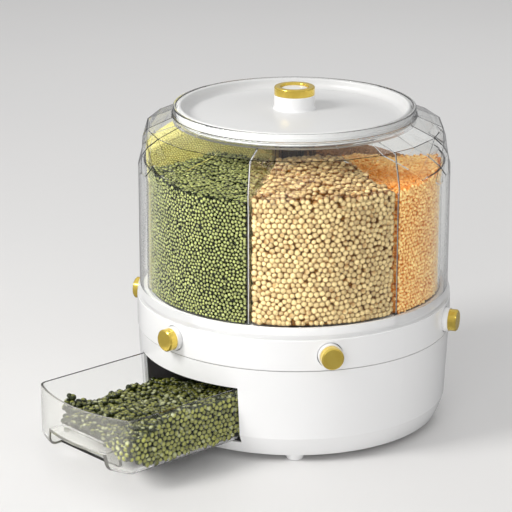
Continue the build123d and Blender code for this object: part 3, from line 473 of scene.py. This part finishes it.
def makeCover():
    # facets cut into a round wall outside, and the same facets one wall further in
    cover = makeDrum(shell["radius"], shell["foot"], shell["blockTop"])
    combine(cover, makeFacetBody(0), "INTERSECT")
    combine(cover, makeDrum(shell["flange"], shell["foot"], shell["flangeTop"]), "UNION")
    combine(cover, makeDrum(shell["flange"], shell["flangeTop"], shell["taperTop"], shell["radius"]), "UNION")
    combine(cover, makeDrum(shell["skirtRadius"], shell["skirt"], shell["foot"] + 0.001), "UNION")
    inside = makeDrum(shell["radius"] - shell["wall"], shell["insideFoot"], shell["blockTop"])
    combine(inside, makeFacetBody(shell["facetWall"]), "INTERSECT")
    combine(cover, inside, "DIFFERENCE")
    combine(cover, makeDrum(shell["hole"], shell["holeFrom"], shell["blockTop"]), "DIFFERENCE")
    cover.name = "clearCover"
    cover.data.materials.clear()
    cover.data.materials.append(coverClear)
    cover.data.materials.append(edgeWhite)
    # painted highlight: the bevel faces along the facet edges take the half-clear white
    edges = cover.modifiers.new("edges", "BEVEL")
    edges.width, edges.segments, edges.material = shell["bevel"], 1, 1
    edges.limit_method, edges.angle_limit = "ANGLE", radians(shell["bevelFrom"])
    bpy.ops.object.select_all(action="DESELECT")
    bpy.context.view_layer.objects.active = cover
    cover.select_set(True)
    bpy.ops.object.modifier_apply(modifier=edges.name)
    bpy.ops.object.shade_smooth_by_angle(angle=radians(shell["smoothUpTo"]))
    for face in cover.data.polygons:  # the flange at the foot takes the half-clear white too
        middle = face.center
        if middle.z < shell["taperTop"] - 0.001 and middle.xy.length > shell["radius"]:
            face.material_index = 1
    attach(cover, "drum")
    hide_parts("cover")
    print("cover made,", len(cover.data.vertices), "points,", [round(v, 4) for v in cover.dimensions])


dividerEdge = {"width": 0.0008,  # and the radius and height of each bend
               "path": [(0.1239, 0.1190), (0.1239, 0.2115), (0.1248, 0.2275), (0.1200, 0.2541), (0.1016, 0.2595)]}


def makeDividerEdges():
    # painted highlight: a narrow half-clear white ribbon just inside the moulded outer edge of each divider, for
    # the light it catches
    path = dividerEdge["path"]
    for number in range(6):
        bpy.ops.object.select_all(action="DESELECT")
        bpy.ops.mesh.primitive_grid_add(x_subdivisions=1, y_subdivisions=len(path) - 1, size=1)
        ribbon = bpy.context.object
        ribbon.name = f"dividerEdge_{number + 1}"
        t = radians(30 + 60 * number - 90)
        for vertex in ribbon.data.vertices:
            radius, height = path[round((vertex.co.y + 0.5) * (len(path) - 1))]
            aside = dividerEdge["width"] * vertex.co.x
            vertex.co = (radius * cos(t) - aside * sin(t), radius * sin(t) + aside * cos(t), height)
        ribbon.data.materials.append(edgeWhite)
        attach(ribbon, "drum")


def makeSprings():
    # each spring is a copy of its part, keeping its shape, and rides on its button
    for number in range(1, 7):
        spring = bpy.data.objects.new(f"pressSpring_{number}", nodes[f"button_spring_{number}"].data.copy())
        scene.collection.objects.link(spring)
        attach(spring, f"button_{number}")
        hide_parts(f"button_spring_{number}")
        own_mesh(spring)


makeCover()
makeDividerEdges()
makeSprings()

# Grain
wedge = {"inner": 0.0181, "outer": 0.1242, "floor": 0.1180, "flareFrom": 0.212, "flareTo": 0.228, "flare": 0.001,
         "divider": 0.0009, "rib": 0.0016, "ribEnd": 0.1227, "edgeBand": 0.026, "crestAt": 0.48, "sag": 0.3}
grains = {  # shape across and along, spacing, cuts of the starting cube, has an eye, colours (gap: painted shade between grains; shaded and lit: painted shade and light on each grain), how far the lit side reaches, tone and lift of the lit side on top, painted glow
    # side reaches, tone and lift of the pale side on top, glow
    "mung": {"size": (0.0037, 0.0037, 0.0044), "spacing": 0.0035, "cuts": 1, "eyed": False,
             "gap": (0.012, 0.015, 0.002), "shadedColour": (0.016, 0.022, 0.002), "litColour": (0.44, 0.47, 0.16),
             "eye": (0.9, 0.9, 0.72), "shine": 0.1, "reach": 0.27, "top": (0.62, 0.1), "glow": 0},
    "soya": {"size": (0.0058, 0.0058, 0.0063), "spacing": 0.0048, "cuts": 2, "eyed": True,
             "gap": (0.28, 0.11, 0.01), "shadedColour": (0.16, 0.055, 0.004), "litColour": (1.0, 0.78, 0.39),
             "eye": (0.5, 0.26, 0.08), "shine": 0.22, "reach": 0.35, "top": (0.62, 0.06), "glow": 0},
    "amber": {"size": (0.0033, 0.0033, 0.0052), "spacing": 0.0035, "cuts": 1, "eyed": False,
              "gap": (0.45, 0.14, 0.01), "shadedColour": (0.58, 0.18, 0.006), "litColour": (1.0, 0.77, 0.32),
              "eye": (0.45, 0.16, 0.05), "shine": 0.26, "reach": 0.4, "top": (0.6, 0.12), "glow": 0.26},
    "lentil": {"size": (0.0042, 0.0042, 0.0024), "spacing": 0.0036, "cuts": 1, "eyed": False,
               "gap": (0.12, 0.05, 0.02), "shadedColour": (0.18, 0.07, 0.02), "litColour": (0.5, 0.24, 0.09),
               "eye": (0.4, 0.1, 0.02), "shine": 0.4, "reach": 0.4, "top": (0.7, 0.25), "glow": 0.1},
    "adzuki": {"size": (0.0042, 0.0042, 0.0054), "spacing": 0.0045, "cuts": 1, "eyed": False,
               "gap": (0.07, 0.035, 0.015), "shadedColour": (0.1, 0.05, 0.02), "litColour": (0.42, 0.25, 0.11),
               "eye": (0.75, 0.65, 0.55), "shine": 0.26, "reach": 0.4, "top": (0.7, 0.25), "glow": 0.1},
    "millet": {"size": (0.0019, 0.0019, 0.0021), "spacing": 0.0021, "cuts": 0, "eyed": False,
               "gap": (0.36, 0.32, 0.07), "shadedColour": (0.44, 0.4, 0.08), "litColour": (0.76, 0.7, 0.26),
               "eye": (0.3, 0.2, 0.05), "shine": 0.5, "reach": 0.4, "top": (0.75, 0.3), "glow": 0.1},
    "cupMung": {"size": (0.0051, 0.0051, 0.0059), "spacing": 0.0048, "cuts": 2, "eyed": True,
                "gap": (0.008, 0.01, 0.001), "shadedColour": (0.016, 0.022, 0.002), "litColour": (0.47, 0.48, 0.11),
                "eye": (0.62, 0.64, 0.36), "shine": 0.0, "reach": 0.26, "top": (0.4, -0.02), "glow": 0},
}
# bin number: grain, height at the outer wall, at the crest and by the column, curve, rise at one side, seed
fills = {
    1: ("mung", 0.221, 0.2325, 0.222, 1.25, 0.0065, 11),
    2: ("soya", 0.2235, 0.243, 0.228, 1.25, 0, 12),
    3: ("amber", 0.2245, 0.2275, 0.226, 1.25, 0, 13),
    4: ("lentil", 0.208, 0.226, 0.235, 1.25, 0, 14),
    5: ("adzuki", 0.225, 0.240, 0.240, 1.25, 0, 15),
    6: ("millet", 0.239, 0.258, 0.257, 2.6, 0, 16),
}


eyePatch = {"from": 0.75, "dent": 0.08}
packing = {"row": 0.866, "jitter": 0.27, "sizes": (0.84, 1.16), "rounds": 14, "push": 0.30, "edge": 0.6}
toneSpread = 0.14
amberPaintedShade = {"tone": 0.20, "from": 4, "over": 12, "side": 0.45}  # painted shade: the amber heap is painted darker on its near side
ripple = {"outward": (0.0011, 95), "round": (0.0009, 5.3, 60)}


def makeSeed(kind):
    # one grain: a cube divided, drawn to a ball, stretched, and dented at its eye
    bpy.ops.object.select_all(action="DESELECT")
    if kind["cuts"]:
        bpy.ops.mesh.primitive_cube_add(size=1)
        bpy.ops.object.mode_set(mode="EDIT")
        bpy.ops.mesh.select_all(action="SELECT")
        bpy.ops.mesh.subdivide(number_cuts=kind["cuts"])
        bpy.ops.transform.tosphere(value=1)
        bpy.ops.object.mode_set(mode="OBJECT")
    else:
        bpy.ops.mesh.primitive_ico_sphere_add(subdivisions=1, radius=1)
    seed = bpy.context.object
    mesh = seed.data
    points = np.array([v.co for v in mesh.vertices])
    points /= np.linalg.norm(points, axis=1).max()
    eye = np.clip((points[:, 0] - eyePatch["from"]) / (1 - eyePatch["from"]), 0, 1) * kind["eyed"]
    points[:, 0] -= eyePatch["dent"] * eye
    faces = [tuple(f.vertices) for f in mesh.polygons]
    bpy.data.objects.remove(seed)
    return {"points": points * np.array(kind["size"]) / 2, "faces": np.array(faces), "eye": eye}


def packFlat(width, height, spacing, rng):
    # grains shaken together on a flat field: a staggered start, uneven sizes, then pushed apart
    step = spacing * packing["row"]
    rows, columns = int(height / step) + 3, int(width / spacing) + 3
    across, up = np.meshgrid(np.arange(columns), np.arange(rows))
    where = np.stack([(across + 0.5 * (up % 2)) * spacing - spacing, up * step - spacing], axis=-1)
    where = where + rng.normal(0, packing["jitter"] * spacing, where.shape)
    size = rng.uniform(*packing["sizes"], (rows, columns))
    for _ in range(packing["rounds"]):
        push = np.zeros_like(where)
        for down in (-2, -1, 0, 1, 2):
            for side in (-2, -1, 0, 1, 2):
                if down == 0 and side == 0:
                    continue
                near = np.roll(where, (down, side), (0, 1))
                gap = where - near
                far = np.linalg.norm(gap, axis=-1, keepdims=True) + 1e-9
                wanted = spacing * 0.5 * (size + np.roll(size, (down, side), (0, 1)))[..., None]
                short = np.where(far < wanted, wanted - far, 0)
                push += packing["push"] * gap / far * short
        where[1:-1, 1:-1] += push[1:-1, 1:-1]
        for axis, end in ((0, width), (1, height)):
            line = where[..., axis]
            line[(line < 0) & (line > -packing["edge"] * spacing)] = 0
            line[(line > end) & (line < end + packing["edge"] * spacing)] = end
    flat = where.reshape(-1, 2)
    keep = (flat[:, 0] >= 0) & (flat[:, 0] <= width) & (flat[:, 1] >= 0) & (flat[:, 1] <= height)
    return flat[keep], size.reshape(-1)[keep]


def randomTurns(count, rng):
    turns = np.empty((count, 3, 3))
    for k in range(count):
        a, b, c = rng.uniform(0, 2 * pi), rng.uniform(-pi, pi), rng.uniform(0, 2 * pi)
        turns[k] = np.array(Euler((a, b, c)).to_matrix())
    return turns


def layGrains(name, seed, layers, rng, material, body):
    # every grain is a copy of the seed, turned, and all are joined into one piece, because operators can't copy
    # thousands; each layer is (places, sizes, way out, tone, lift of the painted lit side)
    places, sizes = np.concatenate([one[0] for one in layers]), np.concatenate([one[1] for one in layers])
    wayOut = np.concatenate([np.broadcast_to(one[2], one[0].shape) for one in layers])
    leaning = np.concatenate([np.broadcast_to(one[3], len(one[0])) for one in layers])
    lift = np.concatenate([np.full(len(one[0]), one[4]) for one in layers])
    count, each = len(places), len(seed["points"])
    turned = np.einsum("kij,nj->kni", randomTurns(count, rng), seed["points"])
    # painted shade: each point's share of shade, from 0 on the grain's side facing out of the heap to 1 on its side
    # facing in
    depth = 0.5 - 0.5 * np.einsum("kni,ki->kn", turned, wayOut) / np.linalg.norm(seed["points"], axis=1).mean()
    depth -= lift[:, None]
    points = turned * sizes[:, None, None] + places[:, None, :]
    tones = np.clip(leaning + rng.normal(0, toneSpread, count), 0, 1)
    faces = seed["faces"][None] + (np.arange(count) * each)[:, None, None]
    mesh = bpy.data.meshes.new(name)
    mesh.from_pydata(points.reshape(-1, 3).tolist(), [], faces.reshape(-1, faces.shape[-1]).tolist())
    for label, values in (("tone", np.repeat(tones, each)), ("eye", np.tile(seed["eye"], count)),
                          ("depth", np.clip(depth, 0, 1).reshape(-1))):
        mesh.attributes.new(label, "FLOAT", "POINT").data.foreach_set("value", values.astype(np.float32))
    mesh.polygons.foreach_set("use_smooth", np.ones(len(mesh.polygons), bool))
    mesh.materials.append(material)
    piece = bpy.data.objects.new(name, mesh)
    scene.collection.objects.link(piece)
    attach(piece, body)
    print(name, count, "grains,", count * len(seed["faces"]) * (len(seed["faces"][0]) - 2), "triangles")


def wallRadius(height):
    share = (height - wedge["flareFrom"]) / (wedge["flareTo"] - wedge["flareFrom"])
    return wedge["outer"] + wedge["flare"] * np.clip(share, 0, 1)


def levelAt(fill, radius, angle):
    # top of the grain in a bin: a heap with its crest half way out, lower by the dividers, and a little uneven
    _, edge, crest, column, curve, rise, _ = fills[fill]
    share = np.clip((radius - wedge["inner"]) / (wedge["outer"] - wedge["inner"]), 0, 1)
    off = (angle - radians(60 * (fill - 1) - 90) + pi) % (2 * pi) - pi
    rising = np.clip(share / wedge["crestAt"], 0, 1)
    falling = np.clip((share - wedge["crestAt"]) / (1 - wedge["crestAt"]), 0, 1)
    level = column + (crest - column) * rising * (2 - rising) - (crest - edge) * falling ** curve
    (high, often), (low, turns, along) = ripple["outward"], ripple["round"]
    wave = high * np.sin(radius * often + fill) + low * np.sin(angle * turns + radius * along + 2 * fill)
    sag = wedge["sag"] * (crest - edge) * np.clip(np.abs(off) / radians(30), 0, 1) ** 2
    return level + rise * np.clip(-off / radians(30), 0, 1) ** 1.5 + (wave - sag) * np.sin(share * pi)


def fillBin(number):
    kindName, edge, crest, column, _, rise, seedNumber = fills[number]
    kind = grains[kindName]
    rng = np.random.default_rng(seedNumber)
    seed = makeSeed(kind)
    thick, spacing = min(kind["size"]) / 2, kind["spacing"]  # half a grain, and from one to the next
    centre = radians(60 * (number - 1) - 90)
    layers = []

    # against the curved wall
    radius = wedge["outer"] - thick
    half = radians(30) - (wedge["rib"] + thick) / radius
    flat, size = packFlat(2 * half * radius, edge + rise + 0.003 - wedge["floor"], spacing, rng)
    angle = centre - half + flat[:, 0] / radius
    height = wedge["floor"] + 0.9 * thick + flat[:, 1]
    keep = height < levelAt(number, np.full(len(height), radius), angle)
    angle, height, size = angle[keep], height[keep], size[keep]
    out = np.stack([np.cos(angle), np.sin(angle), np.zeros(len(angle))], 1)
    away = wallRadius(height) - thick * size * 1.15 - rng.uniform(0, 0.12, len(height)) * spacing
    layers.append((out * away[:, None] + np.outer(height, (0, 0, 1)), size, out, 0.80, 0))

    # on top
    flat, size = packFlat(2 * wedge["outer"], 2 * wedge["outer"], spacing, rng)
    x, y = flat[:, 0] - wedge["outer"], flat[:, 1] - wedge["outer"]
    radius, angle = np.hypot(x, y), np.arctan2(y, x)
    off = (angle - centre + pi) % (2 * pi) - pi
    side = radius * np.sin(radians(30) - np.abs(off))
    keep = (np.abs(off) < radians(30)) & (side > wedge["divider"] + thick) & (radius > wedge["inner"] + thick)
    keep &= radius < wedge["outer"] - 1.6 * thick
    x, y, radius, off, size = x[keep], y[keep], radius[keep], off[keep], size[keep]
    height = levelAt(number, radius, off + centre) - thick * rng.uniform(0.4, 1.3, len(x))
    # painted shade: the top layer takes a darker tone than the grains against the wall
    tone, topLift = kind["top"]
    # painted shade on the amber top towards one side
    if kindName == "amber":
        shadedShare = np.clip((radians(amberPaintedShade["from"]) - off) / radians(amberPaintedShade["over"]), 0, 1)
        tone = tone + (amberPaintedShade["tone"] - tone) * shadedShare
    layers.append((np.stack([x, y, height], 1), size, np.array([0, 0, 1]), tone, topLift))

    # against the dividers: all the way down near the wall, and elsewhere where the neighbour's grain is lower
    for way in (-1, 1):
        neighbour = (number - 1 + way) % 6 + 1
        tallest = max(edge, crest, column) + rise + 0.002 - wedge["floor"]
        flat, size = packFlat(wedge["outer"] - wedge["inner"], tallest, spacing, rng)
        along, height = wedge["inner"] + flat[:, 0], wedge["floor"] + thick + flat[:, 1]
        turnTo = centre + way * radians(30)
        turnsTo = np.full(len(along), turnTo)
        low = levelAt(neighbour, along, turnsTo) - 0.005
        keep = height < levelAt(number, along, turnsTo) - thick
        keep &= (along < wedge["ribEnd"] - thick) & (along > wedge["inner"] + 2 * thick)
        keep &= (along > wedge["outer"] - wedge["edgeBand"]) | (height > low)
        along, height, size = along[keep], height[keep], size[keep]
        out = np.array([-way * sin(turnTo), way * cos(turnTo), 0])
        inward = wedge["divider"] + thick * size * 1.05
        x = along * cos(turnTo) - out[0] * inward
        y = along * sin(turnTo) - out[1] * inward
        # painted shade: the amber grains against one divider take a darker tone
        tone = amberPaintedShade["side"] if (kindName, way) == ("amber", -1) else 0.78
        layers.append((np.stack([x, y, height], 1), size, out, tone, 0.02))

    layGrains(f"{kindName}Fill", seed, layers, rng, grainMaterial(kindName + "Skin", kind), "drum")
    makeBinCore(number, kindName, kind, centre, thick)


def coreMaterial(name, kind):
    # the imported grain behind the first layer: dark gaps of painted shade, with a hint of rounded grains
    material, tree, shader = newMaterial(name)
    place = addNode(tree, "ShaderNodeTexCoord")
    cells = addNode(tree, "ShaderNodeTexVoronoi")
    cells.inputs["Scale"].default_value = 0.9 / kind["spacing"]
    ramp = addNode(tree, "ShaderNodeValToRGB")
    ramp.color_ramp.elements[0].color = (*[1.5 * c for c in kind["gap"]], 1)
    ramp.color_ramp.elements[1].color = (*kind["gap"], 1)
    ramp.color_ramp.elements[1].position = 0.6
    tree.links.new(place.outputs["Object"], cells.inputs["Vector"])
    tree.links.new(cells.outputs["Distance"], ramp.inputs[0])
    tree.links.new(ramp.outputs[0], shader.inputs["Base Color"])
    addBump(tree, shader, cells.outputs["Distance"], 0.6, -0.001)
    setInputs(shader, Roughness=0.7)
    return material


coreShape = {"cells": 24, "divider": 1.35, "column": 2.2, "wall": 1.55, "top": 1.5}  # how far in, in half grains


def makeBinCore(number, kindName, kind, centre, thick):
    # a solid wedge just behind the grains, from a grid bent into the bin's sector and pulled down to its floor
    bpy.ops.object.select_all(action="DESELECT")
    bpy.ops.mesh.primitive_grid_add(x_subdivisions=coreShape["cells"], y_subdivisions=coreShape["cells"], size=1)
    core = bpy.context.object
    core.name = f"{kindName}Core"
    inmost = wedge["inner"] + coreShape["column"] * thick
    outmost = wedge["outer"] - coreShape["wall"] * thick
    for vertex in core.data.vertices:
        radius = inmost + (vertex.co.y + 0.5) * (outmost - inmost)
        off = -2 * vertex.co.x * (radians(30) - (wedge["divider"] + coreShape["divider"] * thick) / radius)
        level = float(levelAt(number, np.array([radius]), np.array([centre + off]))[0]) - coreShape["top"] * thick
        vertex.co = (radius * cos(centre + off), radius * sin(centre + off), level)
    bpy.ops.object.mode_set(mode="EDIT")
    bpy.ops.mesh.select_all(action="SELECT")
    bpy.ops.mesh.extrude_region_move(TRANSFORM_OT_translate={"value": (0, 0, -0.05)})
    bpy.ops.object.mode_set(mode="OBJECT")
    for vertex in core.data.vertices:
        if vertex.select:
            vertex.co.z = wedge["floor"]
    bpy.ops.object.mode_set(mode="EDIT")
    bpy.ops.mesh.select_all(action="SELECT")
    bpy.ops.mesh.normals_make_consistent(inside=False)
    bpy.ops.object.mode_set(mode="OBJECT")
    # painted shade: the core's dark colour stands for the shade in the gaps between the grains
    core.data.materials.append(coreMaterial(kindName + "CoreSkin", kind))
    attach(core, "drum")


for number in fills:
    fillBin(number)
print("bins filled")

# The heap in the cup
cup = {"half": 0.058, "back": 0.0975, "arcMiddle": 0.111, "arc": 0.1315, "floor": 0.0185, "top": 0.064,
       "recessHalf": 0.039, "recessFrom": 0.2235, "recessFloor": 0.033}
heap = {  # heights of the heap across the cup, and out along its near and its far side
    "across": ([-0.058, -0.032, -0.015, 0.010, 0.058], [0.0370, 0.0395, 0.0425, 0.0490, 0.0580]),
    "near": ([0.097, 0.180, 0.205, 0.225, 0.243], [0.0590, 0.0580, 0.0505, 0.0445, 0.038]),
    "far": ([0.097, 0.180, 0.198, 0.213, 0.226, 0.243], [0.0590, 0.0570, 0.0490, 0.0400, 0.0310, 0.028]),
    "mound": {"x": -0.054, "d": 0.203, "height": 0.009, "width": 0.0045}, "ripple": 0.0014,
    "coreInset": 1.9, "coreTop": 1.7, "coreLift": 0.0003, "coreLeast": 0.0005,  # the core under the beans
    "coreRise": 0.6, "coreRiseFrom": 0.206}


def cupFront(x):
    return cup["arcMiddle"] + np.sqrt(cup["arc"] ** 2 - x ** 2)


def cupFloor(x, d, margin=0.0):
    raised = (np.abs(x) < cup["recessHalf"] + margin) & (d > cup["recessFrom"] - margin)
    return np.where(raised, cup["recessFloor"], cup["floor"])


def cupLevel(x, d):
    # the heap slopes to the far side and to the front, with a small mound in the far corner
    across = np.interp(x, *heap["across"])
    nearSide, farSide = np.interp(d, *heap["near"]), np.interp(d, *heap["far"])
    share = np.clip((x - 0.012) / 0.030, 0, 1)
    level = np.minimum(across, farSide + (nearSide - farSide) * share)
    mound = heap["mound"]
    away = (x - mound["x"]) ** 2 + (d - mound["d"]) ** 2
    level = level + mound["height"] * np.exp(-away / (2 * mound["width"] ** 2))
    empty = np.clip((-0.036 - x) / 0.008, 0, 1) * np.clip((d - 0.207) / 0.008, 0, 1)  # the far corner in front
    level = level + (cup["floor"] - 0.004 - level) * empty
    return level + heap["ripple"] * np.sin(x * 210 + d * 90) * np.sin(d * 170 - x * 60)


def fillCup():
    kind = grains["cupMung"]
    rng = np.random.default_rng(21)
    seed = makeSeed(kind)
    thick, spacing = min(kind["size"]) / 2, kind["spacing"]
    long = cup["arcMiddle"] + cup["arc"] - cup["back"]
    layers = []

    def addLayer(x, d, height, size, out):
        keep = (np.abs(x) < cup["half"] - thick) & (d > cup["back"] + thick) & (d < cupFront(x) - thick)
        keep &= (height > cupFloor(x, d, 1.2 * thick) + thick) & (height < cupLevel(x, d) + 0.0010)
        keep &= height > cup["floor"] + thick + 0.5 * np.clip(d - 0.212, 0, 1)
        # painted shade: the beans on top take a darker tone than those against the walls
        tone, lift = kind["top"] if out[2] else (0.72, 0.02)
        layers.append((np.stack([x, -d, height], 1)[keep], size[keep], np.array(out), tone, lift))

    # on top, and once more near the floor, where there is no core under the beans
    for down in (0.6, 2.0):
        flat, size = packFlat(2 * cup["half"], long, spacing, rng)
        x, d = flat[:, 0] - cup["half"], cup["back"] + flat[:, 1]
        height = cupLevel(x, d) - thick * (down + rng.uniform(-0.8, 0.6, len(x)))
        wanted = (height < cupFloor(x, d, 0.005) + 3 * thick) if down > 1 else np.ones(len(x), bool)
        addLayer(x[wanted], d[wanted], height[wanted], size[wanted], (0, 0, 1))
    # against the two sides, the back and the curved front
    for way in (-1, 1):
        flat, size = packFlat(long, cup["top"] - cup["floor"], spacing, rng)
        x = np.full(len(flat), way * (cup["half"] - 1.12 * thick))
        addLayer(x, cup["back"] + flat[:, 0], cup["floor"] + flat[:, 1], size, (way, 0, 0))
    for front in (False, True):
        flat, size = packFlat(2 * cup["half"], cup["top"] - cup["floor"], spacing, rng)
        x = flat[:, 0] - cup["half"]
        d = cupFront(x) - 1.15 * thick if front else np.full(len(x), cup["back"] + 1.15 * thick)
        addLayer(x, d, cup["floor"] + flat[:, 1], size, (0, -1 if front else 1, 0))
    layGrains("cupMungHeap", seed, layers, rng, grainMaterial("cupMungSkin", kind), "cup")
    makeCupCore(kind, thick)


def coreFoot(x, d):
    # underside of the core: the cup's floor, and rising clear of it towards the front
    rise = heap["coreRise"] * max(d - heap["coreRiseFrom"], 0)
    return float(cupFloor(np.array(x), np.array(d), 0.005)) + heap["coreLift"] + rise


def makeCupCore(kind, thick):
    # a solid just under the beans, from a grid spread over the cup and pulled down to its floor
    bpy.ops.object.select_all(action="DESELECT")
    bpy.ops.mesh.primitive_grid_add(x_subdivisions=32, y_subdivisions=40, size=1)
    core = bpy.context.object
    core.name = "cupMungCore"
    inset = heap["coreInset"] * thick
    bpy.ops.object.mode_set(mode="EDIT")
    bpy.ops.mesh.select_all(action="DESELECT")
    bpy.ops.object.mode_set(mode="OBJECT")
    for vertex in core.data.vertices:
        x = -2 * vertex.co.x * (cup["half"] - inset)
        share = vertex.co.y + 0.5
        d = cup["back"] + inset + share * (float(cupFront(x)) - cup["back"] - 2 * inset)
        low = coreFoot(x, d)
        top = float(cupLevel(np.array(x), np.array(d))) - heap["coreTop"] * thick
        vertex.co = (x, -d, max(top, low + heap["coreLeast"]))
        vertex.select = top < low + heap["coreLeast"]
    bpy.ops.object.mode_set(mode="EDIT")
    bpy.ops.mesh.delete(type="VERT")
    bpy.ops.mesh.select_all(action="SELECT")
    bpy.ops.mesh.extrude_region_move(TRANSFORM_OT_translate={"value": (0, 0, -0.05)})
    bpy.ops.object.mode_set(mode="OBJECT")
    for vertex in core.data.vertices:
        if vertex.select:
            vertex.co.z = coreFoot(vertex.co.x, -vertex.co.y)
    bpy.ops.object.mode_set(mode="EDIT")
    bpy.ops.mesh.select_all(action="SELECT")
    bpy.ops.mesh.normals_make_consistent(inside=False)
    bpy.ops.object.mode_set(mode="OBJECT")
    # painted shade: the core's dark colour stands for the shade in the gaps between the beans
    core.data.materials.append(coreMaterial("cupMungCoreSkin", kind))
    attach(core, "cup")


fillCup()
print("cup filled")
